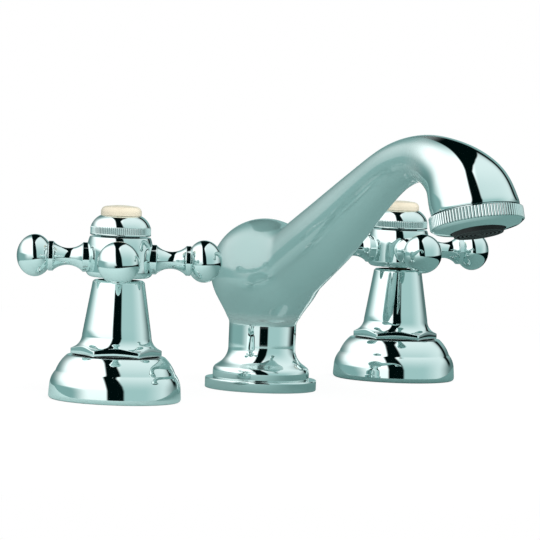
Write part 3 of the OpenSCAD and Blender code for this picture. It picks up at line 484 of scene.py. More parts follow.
@dataclass
class Outline:
    """Half of a turned piece's section, drawn anticlockwise as radius and height in mm."""

    points: list[Pair] = field(default_factory=list)

    ARC_STEP = 0.05
    DENSE_STEP = 0.04
    SAME = 1e-7

    def to(self, *points: Pair) -> "Outline":
        """Adds straight runs to the points given."""
        self.points.extend(points)
        return self

    def arc(self, r: float, z: float, radius: float, start: float, end: float) -> "Outline":
        """Adds an arc.

        Args:
            r: radius of its centre from the axis.
            z: height of its centre.
            radius: its own radius.
            start: first angle in degrees, from the outward direction.
            end: last angle.

        Returns:
            The outline itself.
        """
        steps = max(6, int(radius * math.radians(abs(end - start)) / self.ARC_STEP))
        for angle in np.radians(np.linspace(start, end, steps + 1)):
            self.points.append((r + radius * math.cos(angle), z + radius * math.sin(angle)))
        return self

    def eased(self, ease: float, tolerance: float = 0.002, longest: float = 4.0) -> np.ndarray:
        """Rounds the corners and keeps the points that the shape needs.

        Args:
            ease: about the radius that a sharp corner gets, in mm.
            tolerance: how far the kept points may leave the curve.
            longest: longest run between two kept points.

        Returns:
            Rows of radius, height and the outward normal's two parts.
        """
        run = np.array(self.points, float)
        run = run[np.r_[True, np.linalg.norm(np.diff(run, axis=0), axis=1) > self.SAME]]
        solid = max(run[0, 0], run[-1, 0]) < self.SAME
        if solid:
            whole = np.vstack([run[:0:-1] * (-1, 1), run, run[-2::-1] * (-1, 1)])
        else:
            if np.linalg.norm(run[0] - run[-1]) > self.SAME:
                run = np.vstack([run, run[:1]])
            whole = np.vstack([run[:-1], run[:-1], run])
        along = np.r_[0, np.cumsum(np.linalg.norm(np.diff(whole, axis=0), axis=1))]
        start, length = along[len(run) - 1], along[2 * len(run) - 2] - along[len(run) - 1]
        count = max(int(length / self.DENSE_STEP), 16)
        step = length / count
        pad = int(6 * ease / step) + 2
        places = start + step * np.arange(-pad, count + pad + 1)
        dense = np.stack([np.interp(places, along, whole[:, k]) for k in (0, 1)], 1)
        width = ease / 2 / step
        reach = int(4 * width) + 1
        kernel = np.exp(-0.5 * (np.arange(-reach, reach + 1) / width) ** 2)
        kernel /= kernel.sum()
        soft = np.stack([np.convolve(dense[:, k], kernel, "same") for k in (0, 1)], 1)
        tangent = np.gradient(soft, axis=0)[pad : pad + count + 1]
        soft = soft[pad : pad + count + 1]
        normal = np.stack([tangent[:, 1], -tangent[:, 0]], 1)
        normal /= np.linalg.norm(normal, axis=1)[:, None]
        if solid:
            soft[[0, -1], 0] = 0
        kept = self.kept(soft, tolerance, int(longest / step))
        if not solid:
            kept = kept[:-1]
        return np.hstack([soft, normal])[kept]

    @staticmethod
    def kept(run: np.ndarray, tolerance: float, longest: int) -> list[int]:
        """Picks the points that hold a curve's shape.

        Args:
            run: the dense curve.
            tolerance: how far it may lie from its chords.
            longest: most steps between two kept points.

        Returns:
            The indices kept, in order.
        """
        stack, keep = [(0, len(run) - 1)], {0, len(run) - 1}
        while stack:
            a, b = stack.pop()
            if b - a < 2:
                continue
            chord = run[b] - run[a]
            length = np.linalg.norm(chord)
            inside = run[a + 1 : b] - run[a]
            if length < 1e-9:
                off = np.linalg.norm(inside, axis=1)
            else:
                off = np.abs(inside @ np.array([-chord[1], chord[0]])) / length
            worst = int(np.argmax(off))
            if off[worst] < tolerance:
                if b - a <= longest:
                    continue
                worst = (b - a) // 2 - 1
            middle = a + 1 + worst
            keep.add(middle)
            stack += [(a, middle), (middle, b)]
        return sorted(keep)


def angles(sides: int) -> np.ndarray:
    """Gives the angles of a ring's points, in radians."""
    return np.linspace(0, 2 * math.pi, sides, endpoint=False)


def ring(r: Values, z: Values, angle: np.ndarray) -> np.ndarray:
    """Gives the points of a ring, each with its radius, height and angle."""
    return np.stack([r * np.cos(angle), r * np.sin(angle), z + 0 * angle], 1)


def bands(rows: int, sides: int, closed: bool) -> list[list[int]]:
    """Gives the faces between rows of points.

    Args:
        rows: number of rows.
        sides: points in a row, which closes on itself.
        closed: whether the last row joins the first.

    Returns:
        The faces, row by row.
    """
    low = np.arange(rows * sides).reshape(rows, sides)
    high = np.roll(low, -1, 0)
    faces = np.stack([low, np.roll(low, -1, 1), np.roll(high, -1, 1), high], 2)
    return faces[: rows if closed else rows - 1].reshape(-1, 4).tolist()


def smooth_mesh(name: str, points: np.ndarray, faces: list[list[int]]) -> bpy.types.Mesh:
    """Makes a mesh with smooth shading.

    Args:
        name: the mesh's name.
        points: its points, in mm.
        faces: its faces.

    Returns:
        The mesh, in metres.
    """
    mesh = bpy.data.meshes.new(name)
    mesh.from_pydata((points * MM).tolist(), [], faces)
    mesh.shade_smooth()
    return mesh


def skin(name: str, rings: np.ndarray, closed: bool) -> bpy.types.Mesh:
    """Joins rings of points into a closed mesh.

    Args:
        name: the mesh's name.
        rings: points by ring and place in the ring, in mm; the surface faces away from
            the material when the rings run up and the points run anticlockwise.
        closed: whether the last ring joins the first; otherwise both ends are capped.

    Returns:
        The mesh.
    """
    count, sides = rings.shape[:2]
    faces = bands(count, sides, closed)
    if not closed:
        faces.append(list(range(sides))[::-1])
        faces.append(list(range((count - 1) * sides, count * sides)))
    return smooth_mesh(name, rings.reshape(-1, 3), faces)


def turned(
    name: str,
    profile: np.ndarray,
    sides: int,
    solid: bool = False,
    spots: Sequence[Matrix] = (HERE,),
) -> bpy.types.Mesh:
    """Turns a profile about the z axis, with the profile's own normals.

    Args:
        name: the mesh's name.
        profile: rows from Outline.eased().
        sides: sides round the axis.
        solid: whether the profile ends on the axis.
        spots: where the turned shape stands, in mm, once for each.

    Returns:
        The mesh.
    """
    angle = angles(sides)
    body = profile[1:-1] if solid else profile
    points = [ring(r, z, angle) for r, z in body[:, :2]]
    normals = [ring(r, z, angle) for r, z in body[:, 2:]]
    faces = bands(len(body), sides, not solid)
    if solid:
        points.append([[0, 0, profile[0, 1]], [0, 0, profile[-1, 1]]])
        normals.append([[0, 0, -1], [0, 0, 1]])
        foot = len(body) * sides
        top = foot - sides
        for i in range(sides):
            j = (i + 1) % sides
            faces += [[foot, j, i], [foot + 1, top + i, top + j]]
    points, normals = np.vstack(points), np.vstack(normals)
    turns = [np.array(spot.to_3x3()).T for spot in spots]
    whole = [points @ turn + np.array(spot.translation) for turn, spot in zip(turns, spots)]
    every = [[k * len(points) + i for i in face] for k in range(len(spots)) for face in faces]
    mesh = smooth_mesh(name, np.vstack(whole), every)
    held = np.vstack([normals @ turn for turn in turns])
    mesh.normals_split_custom_set_from_vertices(held.tolist())
    return mesh


def reeded(
    name: str, profile: np.ndarray, reeds: int, depth: float, band: Pair, seam: float
) -> bpy.types.Mesh:
    """Turns a profile and presses straight reeds into a band of it.

    Args:
        name: the mesh's name.
        profile: rows from Outline.eased(), of an outline with a bore.
        reeds: number of reeds.
        depth: their depth, in mm.
        band: lowest and highest height of the band.
        seam: height below which the piece gets painted shade, the shade of its neighbour.

    Returns:
        The mesh.
    """
    angle = angles(reeds * REED_SAMPLES)
    crest = np.abs(np.cos(angle * reeds / 2)) ** REED_ROUND
    outer = profile[:, 0].max()
    rings, shade = [], []
    for r, z in profile[:, :2]:
        cut = (1 - crest) * (band[0] < z < band[1] and r > outer - 3 * depth)
        rings.append(ring(r - depth * cut, z, angle))
        # The seam and the grooves' depth are kept as painted shade in the groove attribute.
        shade.append(np.maximum(cut, z < seam))
    mesh = skin(name, np.array(rings), True)
    held = mesh.attributes.new("groove", "FLOAT", "POINT")
    held.data.foreach_set("value", np.concatenate(shade).astype(np.float32))
    return mesh


def place(
    mesh: bpy.types.Mesh,
    finish: Finish,
    body: Body,
    node: str,
    matrix: Matrix = HERE,
    sharp: float | None = None,
) -> None:
    """Makes an object of a mesh, dresses it and lets it ride on its body.

    Args:
        mesh: the mesh, whose name becomes the piece's name.
        finish: its finish.
        body: the body that it rides on.
        node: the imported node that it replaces.
        matrix: where it stands, in metres.
        sharp: angle in degrees over which an edge is sharp.
    """
    mesh.transform(matrix)
    if sharp is not None:
        mesh.set_sharp_from_angle(angle=math.radians(sharp))
    piece = bpy.data.objects.new(mesh.name, mesh)
    link(piece)
    mesh.materials.append(finish.material())
    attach(piece, body.value)
    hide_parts(node)
    LOG.info("%s rides on %s: %d faces", piece.name, body.value, len(mesh.polygons))


def dress(nodes: Sequence[str], finish: Finish) -> None:
    """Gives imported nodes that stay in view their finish.

    Args:
        nodes: the nodes' names.
        finish: the finish that they share.
    """
    for node in nodes:
        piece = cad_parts[node]
        piece.data.materials.clear()
        piece.data.materials.append(finish.material())
        LOG.info("%s is dressed in %s", node, finish.name)


def link(piece: bpy.types.Object) -> None:
    """Puts an object into the scene."""
    bpy.context.scene.collection.objects.link(piece)


def climb(rise: float, radius: float) -> float:
    """Gives the angle in degrees at which an arc of a radius has risen so far."""
    return math.degrees(math.asin(rise / radius))


def measure(node: str) -> tuple[float, float, float]:
    """Gives a node's lowest and highest height and half its width along x, in mm."""
    low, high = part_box(node)
    return low.z / MM, high.z / MM, (high.x - low.x) / 2 / MM


@dataclass
class Valve:
    """One valve: escutcheon, shroud and cross head. Sizes are in mm."""

    side: Side
    head_body: Body
    head_turn: float
    rim_h: float = 2.0
    rim_edge_r: float = 1.3
    wall_lean: float = 4.2
    shoulder_r: float = 9.5
    shoulder_h: float = 5.1
    dome_r: float = 15.8
    dome_h: float = 6.1
    dome_step: float = 1.7
    shell_wall: float = 2.4
    shell_bore_r: float = 12.3
    hex_af: float = 32.4
    hex_turn: float = 8.25
    hex_power: float = 90.0
    crest_ease: float = 0.35
    shroud_wall: float = 2.0
    step_r: float = 15.0
    step_h: float = 0.4
    base_r: float = 14.1
    top_r: float = 10.6
    flare_r: float = 5.9
    flare_h: float = 8.4
    chamfer: float = 0.8
    hub_foot_r: float = 2.6
    barrel_h: float = 9.5
    barrel_r: float = 20.0
    web_h: float = 11.0
    spindle_r: float = 4.05
    pocket_r: float = 7.95
    arm_count: int = 4
    arm_h: float = 7.7
    root_in: float = 2.2
    disc_r: float = 6.0
    disc_w: float = 1.35
    disc_lip: float = 0.35
    neck_r: float = 3.45
    ring_r: float = 6.05
    ring_at: float = 13.4
    ring_w: float = 1.9
    groove_in: float = 0.5
    ball_r: float = 8.59
    ball_at: float = 20.7
    ball_nose: float = 7.48
    ball_back: float = 6.95
    collar_gap: float = 0.6
    band_foot: float = 0.7
    band_h: float = 2.6
    band_in: float = 0.1
    bevel: Pair = (0.35, 0.3)
    collar_dome_r: float = 7.5
    collar_dome_in: float = 5.0
    collar_dome_h: float = 1.3
    collar_reeds: int = 92
    reed_depth: float = 0.35
    collar_bore_r: float = 5.5
    button_edge_r: float = 2.3
    button_crown: float = 0.5

    def name(self, part: str) -> str:
        """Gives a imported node's name on this valve."""
        return f"{self.side.value}_{part}"

    def stand(self, turn: float = 0.0) -> Matrix:
        """Gives the place of a piece on the valve's axis."""
        low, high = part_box(self.name("escutcheon"))
        shift = Matrix.Translation(((low.x + high.x) / 2, 0, 0))
        return shift @ Matrix.Rotation(math.radians(turn), 4, "Z")

    def build(self) -> None:
        """Builds and dresses every piece of the valve."""
        self.escutcheon()
        self.shroud()
        self.hub()
        self.arms()
        self.collar()
        self.button()
        for finish, parts in (
            (STEEL, ("handle_screw", "circlip", "clamp_washer")),
            # The spindle and headwork are painted dark as shade in the gap.
            (GAP_SHADE_BRASS, ("spindle", "headwork")),
            (RUBBER, ("spindle_seals", "seat_seal", "deck_seal", "deck_washer")),
            (CERAMIC, ("moving_disc", "fixed_disc")),
            (BRASS, ("valve_body", "backnut")),
            (CHROME, ("link_tube",)),
        ):
            dress([self.name(part) for part in parts], finish)

    def escutcheon(self) -> None:
        """Turns the bell-shaped base."""
        node = self.name("escutcheon")
        _, top, rim = measure(node)
        lean = math.radians(self.wall_lean)
        inward = self.shoulder_r + (self.shoulder_h - self.rim_h) * math.sin(lean)
        shoulder = Vector((rim - inward / math.cos(lean), self.shoulder_h))
        dome = Vector((rim - self.dome_step - self.dome_r, self.dome_h))
        on_shoulder, on_dome = self.meeting(shoulder, dome)
        wall = self.shell_wall
        outline = Outline().to((rim - wall, 0))
        outline.arc(rim - self.rim_edge_r, self.rim_edge_r, self.rim_edge_r, -90, 0)
        outline.to((rim, self.rim_h))
        outline.arc(*shoulder, self.shoulder_r, self.wall_lean, on_shoulder)
        crown = climb(top - self.dome_h, self.dome_r)
        outline.arc(*dome, self.dome_r, on_dome, crown)
        outline.to((self.shell_bore_r, top), (self.shell_bore_r, top - wall))
        inner = climb(top - wall - self.dome_h, self.dome_r - wall)
        outline.arc(*dome, self.dome_r - wall, inner, 0)
        outline.to((rim - wall - 0.4, self.shoulder_h), (rim - wall, self.rim_h))
        mesh = turned(node + "_shell", outline.eased(0.3), SHELL_SIDES)
        place(mesh, SEAM_SHADED_CHROME, Body.BASE, node, self.stand())

    def meeting(self, shoulder: Vector, dome: Vector) -> Pair:
        """Gives the angles at which the shoulder's arc meets the dome's.

        Args:
            shoulder: centre of the shoulder's arc, as radius and height.
            dome: centre of the dome's arc.

        Returns:
            The angle on the shoulder and the angle on the dome, in degrees.
        """
        gap = dome - shoulder
        run = (self.shoulder_r**2 - self.dome_r**2 + gap.length_squared) / (2 * gap.length)
        lift = math.sqrt(self.shoulder_r**2 - run**2)
        ahead = gap.normalized()
        point = ahead * run + Vector((ahead.y, -ahead.x)) * lift
        back = point - gap
        return (
            math.degrees(math.atan2(point.y, point.x)),
            math.degrees(math.atan2(back.y, back.x)),
        )

    def shroud(self) -> None:
        """Lofts the tapered shroud, whose flare is cut by a hexagon."""
        node = self.name("shroud")
        foot, top, _ = measure(node)
        height = top - foot
        angle = angles(BELL_SIDES)
        faces = np.radians(self.hex_turn + 30 + 60 * np.arange(6))
        lean = np.clip(np.cos(angle[:, None] - faces[None, :]), 1e-3, 1)
        flat = (lean**self.hex_power).sum(1) ** (-1 / self.hex_power)
        hexagon = self.hex_af / 2 * flat
        flare_c = self.base_r + self.flare_r
        crest = np.arccos(np.clip((hexagon - flare_c) / self.flare_r, -1, 1))
        crest_z = self.flare_h - self.flare_r * np.sin(crest)
        inner = self.top_r - self.shroud_wall
        rows: list[tuple[Values, Values]] = [
            (inner, height),
            (inner, 0.0),
            (self.step_r, 0.0),
            (self.step_r, self.step_h),
            (hexagon - 0.25, self.step_h),
            (hexagon - 0.07, self.step_h + 0.07),
            (hexagon, self.step_h + 0.25),
            (hexagon, (self.step_h + crest_z) / 2),
        ]
        after = crest + self.crest_ease / self.flare_r
        after_r = flare_c + self.flare_r * np.cos(after)
        after_z = self.flare_h - self.flare_r * np.sin(after)
        for t in (0.0, 0.25, 0.5, 0.75):
            first, middle, last = (1 - t) ** 2, 2 * t * (1 - t), t**2
            r = (first + middle) * hexagon + last * after_r
            z = (first + middle) * crest_z - first * self.crest_ease + last * after_z
            rows.append((r, z))
        for t in np.linspace(0, 1, 26):
            swing = after * (1 - t) + math.pi * t
            r, z = self.flare_r * np.cos(swing), self.flare_r * np.sin(swing)
            rows.append((flare_c + r, self.flare_h - z))
        taper = height - self.chamfer - self.flare_h
        for t in (0.15, 0.4, 0.7, 0.95, 0.99, 1.0):
            r = self.base_r + (self.top_r - self.base_r) * t
            rows.append((r, self.flare_h + taper * t))
        rows.append((self.top_r - 0.12, height - self.chamfer + 0.2))
        rows.append((self.top_r - self.chamfer + 0.1, height - 0.1))
        rows.append((self.top_r - self.chamfer, height))
        rings = [ring(r, foot + z, angle) for r, z in rows]
        mesh = skin(node + "_bell", np.array(rings), True)
        place(mesh, SEAM_SHADED_CHROME, Body.BASE, node, self.stand(), 40)

    def hub(self) -> None:
        """Turns the hub of the cross head."""
        node = self.name("handle_hub")
        foot, top, r = measure(node)
        web = foot + self.web_h
        crown = climb(top - foot - self.barrel_h, self.barrel_r)
        outline = Outline().to((self.spindle_r, foot))
        outline.arc(r - self.hub_foot_r, foot + self.hub_foot_r, self.hub_foot_r, -90, 0)
        outline.arc(r - self.barrel_r, foot + self.barrel_h, self.barrel_r, 0, crown)
        outline.to((self.pocket_r, top), (self.pocket_r, web), (self.spindle_r, web))
        mesh = turned(node + "_body", outline.eased(0.15), HUB_SIDES)
        place(mesh, CHROME, self.head_body, node, self.stand())

    def arm_outline(self) -> Outline:
        """Draws the baluster arm, from inside the hub to the ball's nose."""
        lip = self.disc_r - self.disc_lip
        foot, head = self.disc_w + 0.2, self.ring_at - 0.3
        half, centre = (head - foot) / 2, (head + foot) / 2
        sag = lip - self.neck_r
        hollow = (half * half + sag * sag) / (2 * sag)
        sweep = climb(half, hollow)
        outline = Outline().to((0, -self.root_in), (self.disc_r, -self.root_in))
        outline.to((self.disc_r, self.disc_w))
        outline.to((lip, self.disc_w + 0.15))
        outline.arc(self.neck_r + hollow, centre, hollow, 180 + sweep, 180 - sweep)
        outline.to((self.ring_r, self.ring_at), (self.ring_r, self.ring_at + self.ring_w))
        groove = self.ring_r - self.groove_in
        outline.to((groove, self.ring_at + self.ring_w + 0.1))
        start = math.pi - math.asin(groove / self.ball_r)
        for t in np.linspace(start, 0, BALL_POINTS):
            reach = self.ball_back if t > math.pi / 2 else self.ball_nose
            outline.to((self.ball_r * math.sin(t), self.ball_at + reach * math.cos(t)))
        return outline

    def arms(self) -> None:
        """Turns one arm and sets it round the hub."""
        node = self.name("handle_arms")
        foot, _, wall = measure(self.name("handle_hub"))
        reach = Matrix.Translation((wall, 0, foot + self.arm_h))
        lay = reach @ Matrix.Rotation(math.radians(90), 4, "Y")
        swing = 2 * math.pi / self.arm_count
        spots = [Matrix.Rotation(swing * i, 4, "Z") @ lay for i in range(self.arm_count)]
        profile = self.arm_outline().eased(0.22)
        mesh = turned(node + "_set", profile, ARM_SIDES, True, spots)
        place(mesh, CHROME, self.head_body, node, self.stand(self.head_turn))

    def collar(self) -> None:
        """Turns the domed index collar with its reeded band."""
        node = self.name("index_collar")
        low, top, r = measure(node)
        foot = measure(self.name("handle_hub"))[1] + self.collar_gap
        ledge = foot + self.band_foot
        band_top = ledge + self.band_h
        inward = r - self.band_in
        spigot = self.pocket_r - FIT
        outline = Outline().to((self.collar_bore_r, low), (spigot, low))
        run, rise = self.bevel
        outline.to((spigot, foot), (r - run, foot), (r, foot + rise), (r, ledge))
        outline.to((inward, ledge + 0.05), (inward, band_top))
        centre, radius = foot + self.collar_dome_h, self.collar_dome_r
        ends = [climb(z - centre, radius) for z in (band_top, top)]
        outline.arc(self.collar_dome_in, centre, radius, *ends)
        outline.to((self.collar_bore_r, top))
        profile = outline.eased(0.1, 0.002, 0.8)
        band = (ledge + 0.1, band_top + 0.1)
        # Below this height the collar gets painted shade from the hub.
        seam = foot + rise + 0.02
        mesh = reeded(node + "_cap", profile, self.collar_reeds, self.reed_depth, band, seam)
        place(mesh, REEDED_CHROME, self.head_body, node, self.stand(self.head_turn), 40)

    def button(self) -> None:
        """Turns the plain ivory index button."""
        node = self.name("index")
        low, top, r = measure(node)
        foot = measure(self.name("index_collar"))[1]
        stem = self.collar_bore_r - FIT
        edge = self.button_edge_r
        half = r - edge
        crown_r = (half**2 + self.button_crown**2) / (2 * self.button_crown)
        tilt = climb(half, crown_r)
        outline = Outline().to((0, low), (stem, low), (stem, foot), (r, foot))
        outline.arc(half, top - self.button_crown - edge, edge, 0, 90 - tilt)
        outline.arc(0, top - crown_r, crown_r, 90 - tilt, 90)
        outline.points[-1] = (0.0, top)
        mesh = turned(node + "_button", outline.eased(0.3), BUTTON_SIDES, True)
        place(mesh, IVORY, self.head_body, node, self.stand(self.head_turn))


@dataclass
class Spout:
    """The cast spout, its flange and its outlet. Sizes are in mm."""

    turn: float = 16.0
    reach: float = 135.6
    crest_h: float = 103.0
    bulb_h: float = 49.6
    bulb_r: float = 23.0
    bulb_under: float = 0.9
    neck_r: float = 14.3
    root_r: float = 15.5
    waist_r: float = 9.75
    mouth_r: float = 17.8
    shoulder_blend: float = 7.0
    neck_blend: float = 5.0
    neck_l: float = 6.5
    foot_r: float = 20.5
    foot_z: float = 4.6
    foot_h: float = 12.9
    bead_h: float = 2.9
    bead_r: float = 2.8
    hollow_r: float = 8.1
    hinge_out: float = 1.886
    hinge_up: float = 0.54
    foot_slope: float = 55.0
    thread_r: float = 16.5
    thread_l: float = 4.2
    mouth_wall: float = 3.5
    recess_l: float = 4.0
    shank_r: float = 10.48
    shank_l: float = 12.0
    sides: int = 144
    ring_r: float = 19.1
    ring_gap: float = 0.8
    ring_h: float = 8.4
    ring_lip: float = 1.2
    cone_h: float = 1.4
    under_in: float = 0.6
    knurl_h: float = 5.1
    ring_reeds: int = 88
    reed_depth: float = 0.42
    ring_bore_r: float = 11.3
    jet_r: float = 11.0
    jet_face_r: float = 10.0
    jet_h: float = 2.6
    jet_flange_h: float = 0.9
    groove_depth: float = 0.8
    jet_grooves: int = 5

    AXIS = np.array(UP)
    HALVINGS = 24
    RELAXINGS = 8
    NECK_RINGS = 8
    BEND_RINGS = 64
    STATION_RINGS = 16
    FREE_RINGS = 12
    # Reach, rise, shares of the root's and of the mouth's width, and lean in degrees.
    STATIONS = (
        (0.077, -0.026, 1.000, 0.000, 54.5),
        (0.294, 0.335, 0.740, 0.000, 54.5),
        (0.496, 0.712, 0.220, 0.000, 57.0),
        (0.631, 0.926, 0.000, 0.000, 68.0),
        (0.757, 1.000, 0.000, 0.000, 88.5),
        (0.875, 0.925, 0.000, 0.390, 111.0),
        (0.955, 0.800, 0.000, 0.870, 137.0),
        (0.995, 0.672, 0.000, 1.000, 159.2),
        (1.000, 0.641, 0.000, 1.000, 164.0),
    )

    def __post_init__(self) -> None:
        """Works out the stations of the arm, as in the part's source."""
        out, up, root, mouth, self.lean = np.array(self.STATIONS).T
        height = self.bulb_h + up * (self.crest_h - self.bulb_h)
        self.place = np.stack([0 * out, -out * self.reach, height], 1)
        wider = root * (self.root_r - self.waist_r) + mouth * (self.mouth_r - self.waist_r)
        self.radius = self.waist_r + wider
        self.mouth_tilt = 180 - self.lean[-1]
        run = self.place[1] - self.place[0]
        self.root_run = float(np.linalg.norm(run))
        self.root_axis = run / self.root_run
        self.foot_top = self.foot_z + self.foot_h

    def stand(self) -> Matrix:
        """Gives the spout's turn about its axis at rest."""
        return Matrix.Rotation(math.radians(-self.turn), 4, "Z")

    def at_mouth(self) -> Matrix:
        """Gives the mouth's place, with z running out of it."""
        shift = Matrix.Translation(Vector(self.place[-1] * MM))
        return self.stand() @ shift @ Matrix.Rotation(math.radians(180 - self.mouth_tilt), 4, "X")

    def gap(self, p: np.ndarray) -> np.ndarray:
        """Gives the distance of points to the blended neck, bulb and arm.

        Args:
            p: the points, in mm.

        Returns:
            The distances, negative inside.
        """
        z = np.minimum(p[:, 2], self.bulb_h)
        neck = np.sqrt(p[:, 0] ** 2 + p[:, 1] ** 2 + (p[:, 2] - z) ** 2) - self.neck_r
        up = p[:, 2] - self.bulb_h
        up = np.where(up < 0, up / self.bulb_under, up)
        bulb = np.sqrt(p[:, 0] ** 2 + p[:, 1] ** 2 + up**2) - self.bulb_r
        away = p - self.place[0]
        on = np.maximum(away @ self.root_axis, -self.root_run / 3)
        slope = (self.radius[1] - self.radius[0]) / self.root_run
        arm = np.linalg.norm(away - on[:, None] * self.root_axis, axis=1)
        arm = arm - self.radius[0] - slope * on
        rise = np.clip((p[:, 2] - self.foot_top - self.neck_l) / self.neck_l, 0.4, 1.0)
        upright = self.blended(neck, bulb, self.neck_blend)
        return self.blended(upright, arm, self.shoulder_blend * rise)

    @staticmethod
    def blended(a: np.ndarray, b: np.ndarray, width: Values) -> np.ndarray:
        """Gives the lesser of two distances, rounded where they meet."""
        near = np.maximum(width - np.abs(a - b), 0) / width
        return np.minimum(a, b) - near * near * width / 4

    def directions(self, lean: float) -> np.ndarray:
        """Gives the directions of a section's points, for its lean in degrees."""
        angle, tilt = angles(self.sides), math.radians(lean)
        x, y = np.cos(angle), np.sin(angle)
        return np.stack([x, y * math.cos(tilt), y * math.sin(tilt)], 1)

    def blended_ring(self, p: np.ndarray, lean: float) -> np.ndarray:
        """Gives a section that follows the blended form.

        Args:
            p: its centre, in mm.
            lean: its lean, in degrees.

        Returns:
            Its points, found by halving the way between inside and outside.
        """
        ways = self.directions(lean)
        low, high = np.zeros(self.sides), np.full(self.sides, 2 * self.bulb_r)
        for _ in range(self.HALVINGS):
            half = (low + high) / 2
            inside = self.gap(p + half[:, None] * ways) < 0
            low, high = np.where(inside, half, low), np.where(inside, high, half)
        return p + ((low + high) / 2)[:, None] * ways

    def round_ring(self, p: np.ndarray, lean: float, r: float) -> np.ndarray:
        """Gives a round section."""
        return p + r * self.directions(lean)

    def along(self, values: np.ndarray, i: int, t: float) -> np.ndarray:
        """Gives a smooth curve through the stations.

        Args:
            values: one row for each station.
            i: the station before.
            t: share of the way to the next.

        Returns:
            The value there.
        """
        last = len(values) - 1
        a, b = values[max(i - 1, 0)], values[i]
        c, d = values[min(i + 1, last)], values[min(i + 2, last)]
        bend = a - 2.5 * b + 2 * c - d / 2 + t * (1.5 * b - 1.5 * c + (d - a) / 2)
        return b + t * ((c - a) / 2 + t * bend)

    def build(self) -> None:
        """Builds and dresses every piece of the spout."""
        self.casting()
        self.flange()
        self.outlet_ring()
        self.jet()
        dress(["spout_grub_screw", "spout_clamp_washer"], STEEL)
        dress(["aerator_washer", "spout_seals", "spout_deck_washer"], RUBBER)
        dress(["spout_shank", "spout_backnut", "spout_tee", "union_nuts", "olives"], BRASS)

    def foot_rings(self) -> list[np.ndarray]:
        """Gives the sections of the turned foot, from its bore out and up to the neck."""
        slope = self.foot_slope
        top = self.foot_z + self.shank_l
        outline = Outline().to((self.shank_r, top), (self.shank_r, self.foot_z))
        outline.to((self.foot_r, self.foot_z))
        outline.arc(self.foot_r - self.bead_r, self.foot_z + self.bead_h, self.bead_r, 0, slope)
        outline.arc(self.neck_r + self.hollow_r, self.foot_top, self.hollow_r, 180 + slope, 180)
        outline.to((self.neck_r, self.foot_top + 2), (self.shank_r, self.foot_top + 2))
        rows = [(1.0, top), (self.shank_r, top), (self.shank_r, self.foot_z + 0.1)]
        for r, z in outline.eased(0.3, 0.002, 1.0)[:, :2]:
            if z <= self.foot_top + 1.0 and r > self.shank_r + 0.2:
                rows.append((r, z))
        return [self.round_ring(z * self.AXIS, 0, r) for r, z in rows]

    def casting(self) -> None:
        """Lofts the foot, neck, bulb and arm as one skin and closes it at the mouth."""
        rings = self.foot_rings()
        hinge_z = self.foot_top + self.hinge_up * self.hollow_r
        hinge = np.array([0.0, -self.hinge_out * self.neck_r, hinge_z])
        lean = self.lean[0]
        for z in np.linspace(self.foot_top + 1.6, hinge_z, self.NECK_RINGS, endpoint=False):
            rings.append(self.blended_ring(z * self.AXIS, 0))
        start = -hinge[1]
        root_s = float((hinge - self.place[0]) @ self.root_axis)
        end = float(np.linalg.norm(self.place[0] + root_s * self.root_axis - hinge))
        for t in np.linspace(0, 1, self.BEND_RINGS):
            tilt = math.radians(t * lean)
            run = start + t * (end - start)
            centre = hinge + run * np.array([0, math.cos(tilt), math.sin(tilt)])
            rings.append(self.blended_ring(centre, t * lean))
        for s in np.linspace(root_s, self.root_run, self.BEND_RINGS)[1:]:
            rings.append(self.blended_ring(self.place[0] + s * self.root_axis, lean))
        first = len(rings) - self.FREE_RINGS
        curves = (self.place, self.lean, self.radius)
        for i in range(1, len(self.place) - 1):
            for t in np.linspace(0, 1, self.STATION_RINGS + 1)[1:]:
                rings.append(self.round_ring(*(self.along(values, i, t) for values in curves)))
        rings = self.relaxed(rings, first) + self.mouth_rings()
        mesh = skin("spout_casting", np.array(rings), False)
        place(mesh, CAST_CHROME, Body.SPOUT, "spout_body", self.stand(), 35)

    def relaxed(self, rings: list[np.ndarray], first: int) -> list[np.ndarray]:
        """Evens the sections of the arm along its length, so that it mirrors without a kink.

        Args:
            rings: all sections so far.
            first: the first one that may move.

        Returns:
            The sections, of which the last one stays too.
        """
        stack = np.array(rings)
        last = len(rings) - 1
        for _ in range(self.RELAXINGS):
            middle = stack.copy()
            middle[1:-1] = (stack[:-2] + 2 * stack[1:-1] + stack[2:]) / 4
            stack[first:last] = middle[first:last]
        return list(stack)

    def mouth_rings(self) -> list[np.ndarray]:
        """Gives the sections that close the mouth: lip, threaded collar and recess."""
        centre = self.place[-1]
        lean = 180 - self.mouth_tilt
        tilt = math.radians(self.mouth_tilt)
        out = np.array([0, -math.sin(tilt), -math.cos(tilt)])
        inner, inside = self.thread_r - self.mouth_wall, -self.recess_l
        steps = (
            (0.02, self.mouth_r - 0.03),
            (0.08, self.mouth_r - 0.12),
            (0.1, self.mouth_r - 0.4),
            (0.1, self.thread_r + FIT),
            (0.12, self.thread_r),
            (self.thread_l, self.thread_r),
            (self.thread_l, inner),
            (inside, inner),
            (inside, 1.0),
        )
        return [self.round_ring(centre + s * out, lean, r) for s, r in steps]

    def flange(self) -> None:
        """Turns the flange under the foot."""
        _, top, r = measure("spout_flange")
        bore = self.shank_r + 0.3
        outline = Outline().to((bore, 0), (r, 0), (r, top), (bore, top))
        mesh = turned("spout_flange_disc", outline.eased(0.8), SHELL_SIDES)
        place(mesh, CHROME, Body.BASE, "spout_flange")

